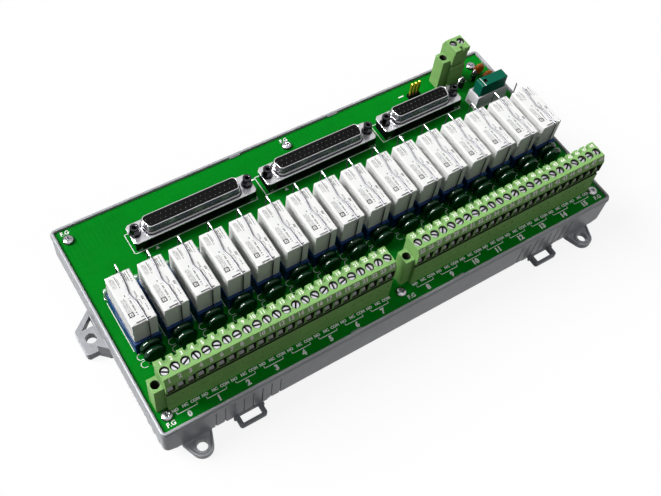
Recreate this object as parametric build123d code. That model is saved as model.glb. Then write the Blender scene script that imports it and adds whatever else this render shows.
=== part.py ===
"""A sixteen channel relay module board in a moulded tray for a 35 mm rail.

All sizes are in millimetres. The origin is on the mounting plane under the middle of
the board, X runs along the terminal blocks, Y from the terminals to the connectors
and Z up. Places on the board are measured from its left front corner and its top.
"""
import os

from build123d import *

# Circuit board
CHANNELS = 16
BOARD_WIDTH = 121.2
BOARD_THICKNESS = 1.6
BOARD_GAP = 0.3
BOARD_UNDERSIDE = 21.9
BOARD_TOP = BOARD_UNDERSIDE + BOARD_THICKNESS

# Terminal blocks: two rows along the front, one pair of poles at the rear
PITCH = 5.08
POLES = 24
POWER_POLES = 2
FIRST_POLE = 9.03
BLOCK_GAP = 12.98
LAST_POLE_MARGIN = 8.79
POLE_ROW = 14.05
BOARD_LENGTH = FIRST_POLE + 2 * (POLES - 1) * PITCH + PITCH + BLOCK_GAP + LAST_POLE_MARGIN
POWER_FROM_RIGHT = 25.4
POWER_FROM_REAR = 8.2

# Sizes of the fixed half of a terminal block, from the axis of the screws
HEADER_FRONT = 4.9
HEADER_BACK = 6.2
HEADER_HEIGHT = 16.8
HEADER_WALL = 1.1
HEADER_FLOOR = 2.5
PILLAR_HEIGHT = 21.5
PILLAR_FRONT = 3.7
PILLAR_BACK = 3.9
PILLAR_HOLE = 2.0
PILLAR_HOLE_DEPTH = 9.0

# Sizes of the plug that stands in it
PLUG_CLEARANCE = 0.2
PLUG_TOP = 30.25
PLUG_LIP = 3.2
PLUG_FRONT = 3.85
ENTRY_FRONT = 5.6
ENTRY_TOP = 26.4
ENTRY_WIDTH = 3.8
ENTRY_SILL = 18.9
ENTRY_HEAD = 24.7
ENTRY_DEPTH = 6.4
WELL_RADIUS = 1.95
WELL_FLOOR = 26.2
TAB_GAP = 1.9
TAB_DEPTH = 2.6
TAB_DROP = 3.4
SCREW_RADIUS = 1.75
SCREW_SUNK = 1.0
SCREW_SIDES = 8
CLAMP_WIDTH = 3.4
CLAMP_DEPTH = 3.6

# Relays and their sockets
RELAY_WIDTH = 12.4
RELAY_LENGTH = 28.7
RELAY_HEIGHT = 15.7
RELAY_BEFORE_MIDDLE = 18.3
RELAY_FRONT = BOARD_WIDTH / 2 - RELAY_BEFORE_MIDDLE
RELAY_EDGE = 0.6
SOCKET_HEIGHT = 9.2
SOCKET_SIDE = 0.5
SOCKET_FRONT_LEDGE = 1.3
SOCKET_BACK_LEDGE = 1.2
SOCKET_TAIL = 5.4
SOCKET_TAIL_WIDTH = 4.4
SOCKET_TAIL_HEIGHT = 6.0
LEFT_MARGIN = 6.45
RIGHT_MARGIN = 6.6
SOCKET_WIDTH = RELAY_WIDTH + 2 * SOCKET_SIDE
RELAY_PITCH = (BOARD_LENGTH - LEFT_MARGIN - RIGHT_MARGIN - SOCKET_WIDTH) / (CHANNELS - 1)

# Wire clips over the relays
WIRE = 0.8
CLIP_OFFSET = 1.6
CLIP_STEP = 0.35
CLIP_KINK = 1.1
CLIP_REACH = 4.9
CLIP_LIFT = 0.1

# Varistor discs and lamps
DISC_RADIUS = 5.7
DISC_THICKNESS = 3.5
DISC_LIFT = 0.6
DISC_SIDES = 10
DISCS_BEFORE_RELAY = (3.55, 7.8)
LAMP_RADIUS = 1.6
LAMP_HEIGHT = 8.0
LAMP_DOME = 1.0
LAMP_SIDES = 8
LAMP_BEHIND_RELAY = 4.0
LAMP_INSET = 0.9

# Connectors
DSUB_START = 30.5
DSUB_SPACING = 6.4
DSUB_FROM_REAR = 24.25
FLANGE_LENGTHS = (69.32, 69.32, 53.04)
SCREW_SPACINGS = (63.5, 63.5, 47.04)
FLANGE_DEPTH = 12.5
FLANGE_TOP = 8.4
FLANGE_THICKNESS = 0.8
FLANGE_CORNER = 1.5
SHELL_SHORTER = 8.6
SHELL_WIDTH = 7.9
SHELL_HEIGHT = 5.9
SHELL_WALL = 0.5
SHELL_TAPER = 0.7
SHELL_CORNER = 2.4
INSERT_SUNK = 0.3
BODY_DEPTH = 10.8
BODY_SHORTER = 13.5
FOOT_LENGTH = 8.0
NUT_FLATS = 4.8
NUT_HEIGHT = 5.7
NUT_HOLE = 1.2

# Fuse, jumper and loose parts at the right rear, from the right and rear edges
FUSE_FROM_RIGHT = 16.8
FUSE_FROM_REAR = 31.6
FUSE_LENGTH = 18.6
FUSE_WIDTH = 6.3
FUSE_HEIGHT = 8.0
FUSE_SLOPE = 1.9
FUSE_ROOT = 3.5
HOLDER_LENGTH = 22.4
HOLDER_WIDTH = 9.2
HOLDER_HEIGHT = 10.0
HOLDER_CLEARANCE = 0.2
JUMPER_FROM_RIGHT = 53.4
JUMPER_FROM_REAR = 9.7
JUMPER_PINS = 3
JUMPER_PITCH = 2.54
JUMPER_BASE = 2.5
JUMPER_PIN = 0.64
JUMPER_HEIGHT = 11.5
SMALL_DISC_RADIUS = 3.9
SMALL_DISC_THICKNESS = 2.8
SMALL_DISC_LIFT = 0.5
SMALL_DISCS = ((8.8, 13.7), (7.1, 20.2))
DIODE_RADIUS = 1.5
DIODE_HEIGHT = 7.4
DIODES = ((24.3, 17.4), (14.6, 16.4))

# Board screws
HEAD_RADIUS = 2.85
HEAD_HEIGHT = 1.9
HEAD_SIDES = 12
SHANK_SIDES = 8
SHANK_RADIUS = 1.4
SHANK_LENGTH = 9.0
SHANK_CLEARANCE = 0.05
BOARD_HOLE_CLEARANCE = 0.3
SCREW_INSET = 4.6
FRONT_SCREW_ROW = 6.8
REAR_SCREW_ROW = 7.0
RIGHT_REAR_SCREW = 8.8

# Tray
WALL = 1.6
RIM_ABOVE_BOARD = 1.2
TRAY_CORNER = 2.6
RIM_ROUND = 0.8
WALL_BOTTOM = 3.5
END_SLOPE = 6.0
END_SLOPE_HEIGHT = 2.6
FLOOR_UNDERSIDE = 9.5
FLOOR = 1.8
LEDGE = 1.4
BOSS_RADIUS = 3.3
RIB = 1.4
REAR_RIB = 30.0
BOSS_SIDES = 8
SNAP_LENGTH = 6.5
SNAP_REACH = 0.8
SNAP_HEIGHT = 1.0
SNAP_SPACING = 63.0
TRAY_LENGTH = BOARD_LENGTH + 2 * (BOARD_GAP + WALL)
TRAY_WIDTH = BOARD_WIDTH + 2 * (BOARD_GAP + WALL)
TRAY_HEIGHT = BOARD_TOP + RIM_ABOVE_BOARD

# Upright lines on the front wall and ribs under the end walls
GRIP_LINES = 8
GRIP_PITCH = 5.0
GRIP_WIDTH = 0.6
GRIP_DEPTH = 0.5
GRIP_TOP = 19.3
END_RIBS = 7
END_RIB_PITCH = 5.2
END_RIB_WIDTH = 2.2
END_RIB_MIDDLE = 21.0

# Rail channel, from the front edge of the board
RAIL_WIDTH = 35.0
RAIL_CLEARANCE = 0.4
RAIL_THICKNESS = 1.0
RAIL_SEAT = 6.0
RAIL_FRONT = 20.2
CHANNEL_WALL = 2.0
SEAT_WIDTH = 4.0
HOOK_REACH = 1.6
HOOK_THICKNESS = 2.2
HOOK_WIDTH = 16.0
HOOK_CLEARANCE = 0.2
CHANNEL_FRONT = RAIL_FRONT - BOARD_WIDTH / 2
CHANNEL_BACK = CHANNEL_FRONT + RAIL_WIDTH + RAIL_CLEARANCE
HOOK_TOP = RAIL_SEAT - RAIL_THICKNESS - HOOK_CLEARANCE

# Sliding latches
LATCH_FROM_MIDDLE = 92.5
LATCH_WIDTH = 14.8
LATCH_THICKNESS = 3.3
LATCH_LIFT = 0.2
LATCH_LOOP = 6.4
LATCH_BAR = 1.5
LATCH_SIDE = 2.1
LATCH_WING = 1.6
LATCH_WING_THICKNESS = 1.4
LATCH_CLEARANCE = 0.15
LATCH_TRAVEL = 4.0
LATCH_NOSE_WIDTH = 13.0
LATCH_NOSE_LENGTH = 4.6
LATCH_SHOULDER = 0.7
LATCH_SHOULDER_LENGTH = 1.2
HOUSING_SIDE = 2.2

# Mounting ears
EAR_HOLE = 2.75
EAR_THICKNESS = 3.5
EAR_OUT = 4.9
EAR_TIP = 5.5
EAR_ROOT = 15.4
EAR_FROM_MIDDLE = 120.0
EAR_RING_WIDTH = 1.4
EAR_RING_SIDES = 12
EAR_DISH = 0.8
EAR_BORDER = 1.2
EAR_FOOT = 8.0
SIDE_EAR_THICKNESS = 5.0
SIDE_EAR_OUT = 4.7
SIDE_EAR_REACH = 10.4
SIDE_EAR_ROW = 68.6
SIDE_EAR_FRONT = 8.2
SIDE_EAR_BACK = 6.9
SIDE_EAR_FLARE = 4.4
SIDE_EAR_RIB = 1.8
SIDE_EAR_WEB_TOP = 11.0


def on_board(x, y, z=0.0):
    """A place measured from the left front corner of the board and its top."""
    return Pos(x - BOARD_LENGTH / 2, y - BOARD_WIDTH / 2, BOARD_TOP + z)


def from_rear(x_from_right, y_from_rear, z=0.0):
    """A place measured from the right rear corner of the board and its top."""
    return Pos(BOARD_LENGTH / 2 - x_from_right, BOARD_WIDTH / 2 - y_from_rear, BOARD_TOP + z)


def block(x_low, x_high, y_low, y_high, z_low, z_high):
    """A box given by its six faces."""
    middle = Pos((x_low + x_high) / 2, (y_low + y_high) / 2, (z_low + z_high) / 2)
    return middle * Box(x_high - x_low, y_high - y_low, z_high - z_low)


def rod(radius, z_low, z_high):
    """An upright cylinder between two heights."""
    return Pos(0, 0, (z_low + z_high) / 2) * Cylinder(radius, z_high - z_low)


def prism(radius, sides, z_low, z_high):
    """An upright post with a few flats, whose corners lie on the radius."""
    return Pos(0, 0, z_low) * extrude(RegularPolygon(radius, sides), amount=z_high - z_low)


def along_x(points, x_low, x_high):
    """A profile of (y, z) points run from one x to another."""
    face = make_face(Polyline(*[(x_low, y, z) for y, z in points], close=True))
    return extrude(face, amount=x_high - x_low, dir=(1, 0, 0))


def save(name, shape):
    """One named piece, or a group of equal pieces, in its own file."""
    shape.label = name
    export_step(shape, os.path.join("parts", name + ".step"))
    print(name, len(shape.solids()))


def group(shapes):
    """Equal pieces kept as separate solids."""
    return Compound(children=[solid for shape in shapes for solid in shape.solids()])


# Where things stand

def relay_middle(index):
    """Middle of a relay along the row."""
    return LEFT_MARGIN + SOCKET_WIDTH / 2 + index * RELAY_PITCH


def board_screw_places():
    """Six screws near the edges of the board."""
    middle = BOARD_LENGTH / 2
    rear = BOARD_WIDTH - REAR_SCREW_ROW
    return (
        (SCREW_INSET, FRONT_SCREW_ROW),
        (middle, FRONT_SCREW_ROW),
        (BOARD_LENGTH - SCREW_INSET, FRONT_SCREW_ROW),
        (SCREW_INSET, rear),
        (middle - 2 * SHANK_RADIUS, rear),
        (BOARD_LENGTH - RIGHT_REAR_SCREW, rear),
    )


def dsub_places():
    """Middle of each connector along the board, with its two lengths."""
    left = DSUB_START
    for length, spacing in zip(FLANGE_LENGTHS, SCREW_SPACINGS):
        yield left + length / 2, length, spacing
        left += length + DSUB_SPACING


# Tray

def tray_body():
    """Outer form of the tray, open above, with the board's seat and the floor."""
    plan = fillet(Rectangle(TRAY_LENGTH, TRAY_WIDTH).vertices(), TRAY_CORNER)
    body = Pos(0, 0, WALL_BOTTOM) * extrude(plan, amount=TRAY_HEIGHT - WALL_BOTTOM)
    body = chamfer(body.faces().sort_by(Axis.Z)[-1].edges(), RIM_ROUND)
    body = body - [end_slope(end) for end in (-1, 1)]
    half_x = BOARD_LENGTH / 2
    half_y = BOARD_WIDTH / 2
    seat = block(-half_x - BOARD_GAP, half_x + BOARD_GAP, -half_y - BOARD_GAP, half_y + BOARD_GAP,
                 BOARD_UNDERSIDE, TRAY_HEIGHT)
    hollow = block(-half_x + LEDGE, half_x - LEDGE, -half_y + LEDGE, half_y - LEDGE,
                   FLOOR_UNDERSIDE + FLOOR, BOARD_UNDERSIDE)
    return body - seat - hollow


def end_slope(end):
    """What is cut away where an end wall slopes in to the underside, short of its ribs."""
    outer = end * TRAY_LENGTH / 2
    inner = outer - end * END_SLOPE
    wedge = Polyline((outer, 0, WALL_BOTTOM), (inner, 0, WALL_BOTTOM),
                     (outer, 0, WALL_BOTTOM + END_SLOPE_HEIGHT), close=True)
    cut = extrude(make_face(wedge), amount=TRAY_WIDTH / 2, dir=(0, 1, 0), both=True)
    ribs = []
    for line in range(END_RIBS):
        y = END_RIB_MIDDLE - BOARD_WIDTH / 2 + (line - (END_RIBS - 1) / 2) * END_RIB_PITCH
        ribs.append(block(min(outer, inner), max(outer, inner), y - END_RIB_WIDTH / 2,
                          y + END_RIB_WIDTH / 2, 0, WALL_BOTTOM + END_SLOPE_HEIGHT))
    return cut - ribs


def underside():
    """Hollows under the floor: in front of the rail channel, over it and behind it."""
    inner_x = TRAY_LENGTH / 2 - END_SLOPE - WALL
    inner_y = TRAY_WIDTH / 2 - WALL
    behind = CHANNEL_BACK + CHANNEL_WALL
    rows = ((-inner_y, CHANNEL_FRONT - CHANNEL_WALL),
            (CHANNEL_FRONT + SEAT_WIDTH, CHANNEL_BACK - SEAT_WIDTH),
            (behind, REAR_RIB - RIB / 2),
            (REAR_RIB + RIB / 2, inner_y))
    return [block(-inner_x, inner_x, y_low, y_high, 0, FLOOR_UNDERSIDE) for y_low, y_high in rows]


def rail_channel():
    """The way the rail takes through both ends, up to the seats."""
    return block(-TRAY_LENGTH / 2, TRAY_LENGTH / 2, CHANNEL_FRONT, CHANNEL_BACK, 0, RAIL_SEAT)


def latch_housing():
    """Solid guide under the floor that a latch runs in, before its slot is cut."""
    half = LATCH_WIDTH / 2 + LATCH_WING + LATCH_CLEARANCE + HOUSING_SIDE
    return block(-half, half, -TRAY_WIDTH / 2 + WALL / 2, CHANNEL_FRONT, 0, FLOOR_UNDERSIDE)


def latch_slot():
    """Space that a latch slides in: narrow at the wall, wide inside, high at the nose."""
    top = LATCH_LIFT + LATCH_THICKNESS + LATCH_CLEARANCE
    narrow = LATCH_WIDTH / 2 + LATCH_CLEARANCE
    wide = narrow + LATCH_WING
    wall_inside = -TRAY_WIDTH / 2 + WALL
    wing_low = top - LATCH_WING_THICKNESS - 2 * LATCH_CLEARANCE
    nose_half = LATCH_NOSE_WIDTH / 2 + LATCH_CLEARANCE
    nose_back = CHANNEL_FRONT - LATCH_NOSE_LENGTH - LATCH_TRAVEL - LATCH_CLEARANCE
    return (block(-narrow, narrow, -TRAY_WIDTH / 2, CHANNEL_FRONT, 0, top)
            + block(-wide, wide, wall_inside, CHANNEL_FRONT, wing_low, top)
            + block(-nose_half, nose_half, nose_back, CHANNEL_FRONT, 0, HOOK_TOP + LATCH_CLEARANCE))


def fixed_hook():
    """Lip that reaches under the far edge of the rail."""
    low = HOOK_TOP - HOOK_THICKNESS
    points = ((CHANNEL_BACK + RIB, low), (CHANNEL_BACK, low),
              (CHANNEL_BACK - HOOK_REACH, HOOK_TOP - HOOK_THICKNESS / 3),
              (CHANNEL_BACK - HOOK_REACH, HOOK_TOP), (CHANNEL_BACK + RIB, HOOK_TOP))
    return along_x(points, -HOOK_WIDTH / 2, HOOK_WIDTH / 2)


def end_ear():
    """Dished tongue with a ringed hole, carried by a foot under the floor."""
    wall = -TRAY_WIDTH / 2
    tip = Pos(0, wall - EAR_OUT) * Circle(EAR_TIP)
    root = Pos(0, wall + EAR_FOOT / 2) * Rectangle(EAR_ROOT, EAR_FOOT)
    tongue = make_hull(tip.edges() + root.edges())
    inner_tip = Pos(0, wall - EAR_OUT) * RegularPolygon(EAR_TIP - EAR_BORDER, EAR_RING_SIDES)
    inner_root = Pos(0, wall - EAR_BORDER / 2) * Rectangle(EAR_ROOT - 2 * EAR_BORDER, EAR_BORDER)
    dish = make_hull(inner_tip.edges() + inner_root.edges())
    ring = Pos(0, wall - EAR_OUT) * RegularPolygon(EAR_HOLE + EAR_RING_WIDTH, EAR_RING_SIDES)
    hole = Pos(0, wall - EAR_OUT) * Circle(EAR_HOLE)
    ear = extrude(tongue, amount=EAR_THICKNESS)
    ear -= Pos(0, 0, EAR_THICKNESS - EAR_DISH) * extrude(dish - ring, amount=EAR_DISH)
    foot = block(-EAR_ROOT / 2, EAR_ROOT / 2, wall + WALL / 2, wall + EAR_FOOT,
                 EAR_THICKNESS, FLOOR_UNDERSIDE)
    return ear + foot - extrude(hole, amount=EAR_THICKNESS)


def side_ear():
    """Gusseted plate with a hole on the left end, open between its rear rib and the wall."""
    wall = -TRAY_LENGTH / 2
    out = wall - SIDE_EAR_REACH
    inside = wall + END_SLOPE + WALL / 2
    middle = SIDE_EAR_ROW - BOARD_WIDTH / 2
    front = middle - SIDE_EAR_FRONT
    back = middle + SIDE_EAR_BACK
    rib_end = back + SIDE_EAR_REACH - SIDE_EAR_RIB
    plate = Polyline((inside, rib_end), (wall, rib_end), (out, back), (out, front),
                     (wall - SIDE_EAR_FLARE, front), (wall, front - SIDE_EAR_FLARE),
                     (inside, front - SIDE_EAR_FLARE), close=True)
    ear = extrude(make_face(plate), amount=SIDE_EAR_THICKNESS)
    corners = ear.edges().filter_by(Axis.Z).filter_by(lambda edge: edge.center().X < out + 0.1)
    ear = fillet(corners, SIDE_EAR_RIB)
    flare = wall - SIDE_EAR_FLARE
    web = extrude(make_face(Polyline((inside, front + SIDE_EAR_RIB), (flare, front + SIDE_EAR_RIB),
                                     (flare, front), (wall, front - SIDE_EAR_FLARE),
                                     (inside, front - SIDE_EAR_FLARE), close=True)),
                  amount=SIDE_EAR_WEB_TOP)
    pocket_low = back - SIDE_EAR_RIB / 2
    pocket_inner = wall - WALL / 4
    pocket = make_face(Polyline((pocket_inner, pocket_low), (out + 2 * SIDE_EAR_RIB, pocket_low),
                                (pocket_inner, rib_end - 2 * SIDE_EAR_RIB), close=True))
    hole = Pos(wall - SIDE_EAR_OUT, middle) * rod(EAR_HOLE, 0, SIDE_EAR_THICKNESS)
    inside_tray = block(wall + WALL / 2, 0, front - SIDE_EAR_REACH, rib_end + SIDE_EAR_REACH,
                        WALL_BOTTOM + END_SLOPE_HEIGHT, SIDE_EAR_WEB_TOP)
    return ear + web - inside_tray - extrude(pocket, amount=SIDE_EAR_THICKNESS) - hole


def grip_lines():
    """Fine upright lines on the front wall over the latches."""
    face = -TRAY_WIDTH / 2
    cuts = []
    for side in (-1, 1):
        for line in range(GRIP_LINES):
            x = side * LATCH_FROM_MIDDLE + (line - (GRIP_LINES - 1) / 2) * GRIP_PITCH
            cuts.append(block(x - GRIP_WIDTH / 2, x + GRIP_WIDTH / 2, face, face + GRIP_DEPTH,
                              0, GRIP_TOP))
    return cuts


def snap_tabs():
    """Wedges on the rim that hold the edges of the board down."""
    low = BOARD_TOP + RIM_ABOVE_BOARD - SNAP_HEIGHT
    edge = BOARD_WIDTH / 2 + BOARD_GAP
    tabs = []
    for side in (-1, 1):
        points = ((side * (edge + WALL / 2), low), (side * edge, low),
                  (side * (edge - SNAP_REACH), low + SNAP_HEIGHT / 3),
                  (side * edge, TRAY_HEIGHT), (side * (edge + WALL / 2), TRAY_HEIGHT))
        for x in (-SNAP_SPACING / 2, SNAP_SPACING / 2):
            tabs.append(along_x(points, x - SNAP_LENGTH / 2, x + SNAP_LENGTH / 2))
    return tabs


def bosses():
    """Pillars under the board screws."""
    floor = FLOOR_UNDERSIDE + FLOOR / 2
    top = BOARD_UNDERSIDE
    pillars = []
    for x, y in board_screw_places():
        place = Pos(x - BOARD_LENGTH / 2, y - BOARD_WIDTH / 2)
        pillars.append(place * prism(BOSS_RADIUS, BOSS_SIDES, floor, top))
    return pillars


def boss_holes():
    """Screw holes down the pillars."""
    top = BOARD_UNDERSIDE
    bore = SHANK_RADIUS + SHANK_CLEARANCE
    return [Pos(x - BOARD_LENGTH / 2, y - BOARD_WIDTH / 2)
            * prism(bore, SHANK_SIDES, top - SHANK_LENGTH, top) for x, y in board_screw_places()]


def base_tray():
    """The whole moulding."""
    tray = tray_body() - underside()
    latches = [Pos(side * LATCH_FROM_MIDDLE, 0) for side in (-1, 1)]
    tray = tray + [place * latch_housing() for place in latches]
    tray = tray - rail_channel() - [place * latch_slot() for place in latches]
    tray = tray + [place * fixed_hook() for place in latches]
    front_ears = [Pos(side * EAR_FROM_MIDDLE, 0) * end_ear() for side in (-1, 1)]
    rear_ears = [mirror(ear, about=Plane.XZ) for ear in front_ears]
    left_ear = side_ear()
    tray = tray + front_ears + rear_ears + left_ear + mirror(left_ear, about=Plane.YZ)
    tray = tray + bosses() + snap_tabs()
    return tray - boss_holes() - grip_lines()


def din_latch():
    """Sliding foot: a pull loop outside the wall, wings in the guide and a nose under the rail."""
    low = LATCH_LIFT
    top = low + LATCH_THICKNESS
    half = LATCH_WIDTH / 2
    wall = -TRAY_WIDTH / 2
    out = wall - LATCH_LOOP
    wing_front = wall + WALL + LATCH_TRAVEL + LATCH_CLEARANCE
    back = CHANNEL_FRONT - LATCH_NOSE_LENGTH
    body = block(-half, half, out, back, low, top)
    loop_corners = body.edges().filter_by(Axis.Z).sort_by(Axis.Y)[:2]
    body = fillet(loop_corners, LATCH_BAR)
    body += block(-half - LATCH_WING, half + LATCH_WING, wing_front, back,
                  top - LATCH_WING_THICKNESS, top)
    shoulder = half + LATCH_CLEARANCE + LATCH_SHOULDER
    body += block(-shoulder, shoulder, wall - LATCH_CLEARANCE - LATCH_SHOULDER_LENGTH,
                  wall - LATCH_CLEARANCE, low, top)
    body -= block(-half + LATCH_SIDE, half - LATCH_SIDE, out + LATCH_BAR, wall - LATCH_CLEARANCE, low, top)
    tip = CHANNEL_FRONT + HOOK_REACH
    nose = ((back, low), (tip - LATCH_THICKNESS, low), (tip, top), (tip, HOOK_TOP), (back, HOOK_TOP))
    return body + along_x(nose, -LATCH_NOSE_WIDTH / 2, LATCH_NOSE_WIDTH / 2)


# Board and its screws

def circuit_board():
    """Bare board with its screw holes."""
    board = block(-BOARD_LENGTH / 2, BOARD_LENGTH / 2, -BOARD_WIDTH / 2, BOARD_WIDTH / 2,
                  BOARD_UNDERSIDE, BOARD_TOP)
    hole = SHANK_RADIUS + BOARD_HOLE_CLEARANCE
    return board - [on_board(x, y) * prism(hole, HEAD_SIDES, -BOARD_THICKNESS, 0)
                    for x, y in board_screw_places()]


def board_screw():
    """Pan head screw, its head on the board."""
    head = prism(HEAD_RADIUS, HEAD_SIDES, 0, HEAD_HEIGHT)
    head = chamfer(head.faces().sort_by(Axis.Z)[-1].edges(), HEAD_HEIGHT / 3)
    return head + prism(SHANK_RADIUS, SHANK_SIDES, -SHANK_LENGTH, 0)


# Terminal blocks, with the first pole at the origin and the wire side to the front

def header(poles, pillar_side):
    """Trough on the board that takes the plug, with a screw pillar at one end."""
    low = -PITCH / 2
    high = (poles - 0.5) * PITCH
    trough = block(low, high, -HEADER_FRONT, HEADER_BACK, 0, HEADER_HEIGHT)
    inside = block(low + HEADER_WALL, high - HEADER_WALL, -HEADER_FRONT + HEADER_WALL,
                   HEADER_BACK - HEADER_WALL, HEADER_FLOOR, HEADER_HEIGHT)
    middle = low - PITCH / 2 if pillar_side < 0 else high + PITCH / 2
    pillar = block(middle - PITCH / 2, middle + PITCH / 2, -PILLAR_FRONT, PILLAR_BACK, 0, PILLAR_HEIGHT)
    hole = Pos(middle, 0) * prism(PILLAR_HOLE, HEAD_SIDES, PILLAR_HEIGHT - PILLAR_HOLE_DEPTH, PILLAR_HEIGHT)
    return trough - inside + pillar - hole


def plug(poles):
    """Plug with a screw well, a wire entry and a numbered tab for each pole."""
    low = -PITCH / 2
    high = (poles - 0.5) * PITCH
    seat = HEADER_HEIGHT + PLUG_CLEARANCE
    inset = HEADER_WALL + PLUG_CLEARANCE
    profile = ((-ENTRY_FRONT, seat), (-ENTRY_FRONT, ENTRY_TOP), (-PLUG_FRONT, PLUG_TOP - PLUG_LIP),
               (-PLUG_FRONT, PLUG_TOP), (HEADER_BACK, PLUG_TOP), (HEADER_BACK, seat))
    body = along_x(profile, low, high)
    body += block(low + inset, high - inset, -HEADER_FRONT + inset, HEADER_BACK - inset,
                  HEADER_FLOOR + PLUG_CLEARANCE, seat)
    cuts = []
    for pole in range(poles):
        x = pole * PITCH
        cuts.append(Pos(x, 0) * prism(WELL_RADIUS, SCREW_SIDES, WELL_FLOOR, PLUG_TOP))
        cuts.append(block(x - ENTRY_WIDTH / 2, x + ENTRY_WIDTH / 2, -ENTRY_FRONT,
                          -ENTRY_FRONT + ENTRY_DEPTH, ENTRY_SILL, ENTRY_HEAD))
    for pole in range(poles - 1):
        x = (pole + 0.5) * PITCH
        cuts.append(block(x - TAB_GAP / 2, x + TAB_GAP / 2, HEADER_BACK - TAB_DEPTH, HEADER_BACK,
                          PLUG_TOP - TAB_DROP, PLUG_TOP))
    return body - cuts


def plug_screw():
    """Screw head down in its well."""
    return prism(SCREW_RADIUS, SCREW_SIDES, WELL_FLOOR, PLUG_TOP - SCREW_SUNK)


def plug_clamp():
    """Metal cage behind a wire entry."""
    back = -ENTRY_FRONT + ENTRY_DEPTH
    return block(-CLAMP_WIDTH / 2, CLAMP_WIDTH / 2, back - CLAMP_DEPTH, back, ENTRY_SILL, ENTRY_HEAD)


def block_places():
    """Place, number of poles and pillar side of each terminal block."""
    second = FIRST_POLE + (POLES - 1) * PITCH + PITCH + BLOCK_GAP
    power = from_rear(POWER_FROM_RIGHT, POWER_FROM_REAR) * Rot(0, 0, 180)
    return {
        "left": (on_board(FIRST_POLE, POLE_ROW), POLES, -1),
        "right": (on_board(second, POLE_ROW), POLES, -1),
        "power": (power, POWER_POLES, 1),
    }


# Relays

def socket():
    """Relay socket with its origin under the middle of the relay's front edge."""
    front = -SOCKET_FRONT_LEDGE
    back = RELAY_LENGTH + SOCKET_BACK_LEDGE
    half = SOCKET_WIDTH / 2
    body = block(-half, half, front, back, 0, SOCKET_HEIGHT)
    tail = block(CLIP_OFFSET - SOCKET_TAIL_WIDTH / 2, CLIP_OFFSET + SOCKET_TAIL_WIDTH / 2,
                 back, RELAY_LENGTH + SOCKET_TAIL, 0, SOCKET_TAIL_HEIGHT)
    return body + tail


def relay():
    """Sealed relay case on its socket."""
    half = RELAY_WIDTH / 2
    case = block(-half, half, 0, RELAY_LENGTH, SOCKET_HEIGHT, SOCKET_HEIGHT + RELAY_HEIGHT)
    return chamfer(case.faces().sort_by(Axis.Z)[-1].edges(), RELAY_EDGE)


def relay_clip():
    """Bent wire from the socket's front ledge, over the relay, to the tail of the socket."""
    front = -(SOCKET_FRONT_LEDGE - WIRE / 2) + CLIP_LIFT
    back = RELAY_LENGTH + CLIP_REACH - WIRE / 2
    top = SOCKET_HEIGHT + RELAY_HEIGHT + CLIP_LIFT + WIRE / 2
    left = CLIP_OFFSET - CLIP_STEP
    right = CLIP_OFFSET + CLIP_STEP
    path = Polyline((right, front, SOCKET_HEIGHT), (right, front, top),
                    (right, RELAY_LENGTH * 0.36, top),
                    (CLIP_OFFSET - CLIP_KINK, RELAY_LENGTH * 0.53, top),
                    (left, RELAY_LENGTH * 0.78, top),
                    (left, back, top), (left, back, SOCKET_TAIL_HEIGHT))
    section = Plane(path @ 0, z_dir=path % 0) * Rectangle(WIRE, WIRE)
    return sweep(section, path=path, transition=Transition.RIGHT)


def standing_disc(radius, thickness, lift):
    """Dipped disc on the board, its faces to the front and rear."""
    disc = extrude(RegularPolygon(radius, DISC_SIDES), amount=thickness / 2, both=True)
    return Pos(0, 0, radius + lift) * Rot(90, 0, 0) * disc


def lamp():
    """Upright lamp with a domed end."""
    body = prism(LAMP_RADIUS, LAMP_SIDES, 0, LAMP_HEIGHT)
    return chamfer(body.faces().sort_by(Axis.Z)[-1].edges(), LAMP_DOME)


# Connectors

def dee(length, width, taper, corner):
    """Outline of a shell, longer along its rear side."""
    half = length / 2
    side = width / 2
    outline = Polyline((-half, side), (half, side), (half - taper, -side), (-half + taper, -side),
                       close=True)
    return fillet(make_face(outline).vertices(), corner)


def dsub_shell(length):
    """Plated flange with the raised shell round the contacts."""
    outline = chamfer(Rectangle(length, FLANGE_DEPTH).vertices(), FLANGE_CORNER)
    plate = Pos(0, 0, FLANGE_TOP - FLANGE_THICKNESS) * extrude(outline, amount=FLANGE_THICKNESS)
    around = length - 2 * SHELL_SHORTER + 2 * SHELL_WALL
    wall = extrude(dee(around, SHELL_WIDTH, SHELL_TAPER, SHELL_CORNER), amount=SHELL_HEIGHT)
    opening = extrude(dee(around - 2 * SHELL_WALL, SHELL_WIDTH - 2 * SHELL_WALL, SHELL_TAPER,
                          SHELL_CORNER - SHELL_WALL), amount=SHELL_HEIGHT + FLANGE_THICKNESS)
    shell = plate + Pos(0, 0, FLANGE_TOP) * wall
    return shell - Pos(0, 0, FLANGE_TOP - FLANGE_THICKNESS) * opening


def dsub_body(length):
    """Insulator: a foot at each end, a body under the flange and the insert in the shell."""
    top = FLANGE_TOP - FLANGE_THICKNESS
    half = (length - BODY_SHORTER) / 2
    body = block(-half, half, -BODY_DEPTH / 2, BODY_DEPTH / 2, 0, top)
    reach = length / 2 - FLANGE_CORNER
    for side in (-1, 1):
        inner = side * (reach - FOOT_LENGTH)
        outer = side * reach
        body += block(min(inner, outer), max(inner, outer), -BODY_DEPTH / 2, BODY_DEPTH / 2, 0, top)
    clearance = SHELL_WALL / 5
    insert = dee(length - 2 * SHELL_SHORTER - clearance, SHELL_WIDTH - 2 * SHELL_WALL - clearance,
                 SHELL_TAPER, SHELL_CORNER - SHELL_WALL)
    height = FLANGE_THICKNESS + SHELL_HEIGHT - INSERT_SUNK
    return body + Pos(0, 0, top) * extrude(insert, amount=height)


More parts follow.
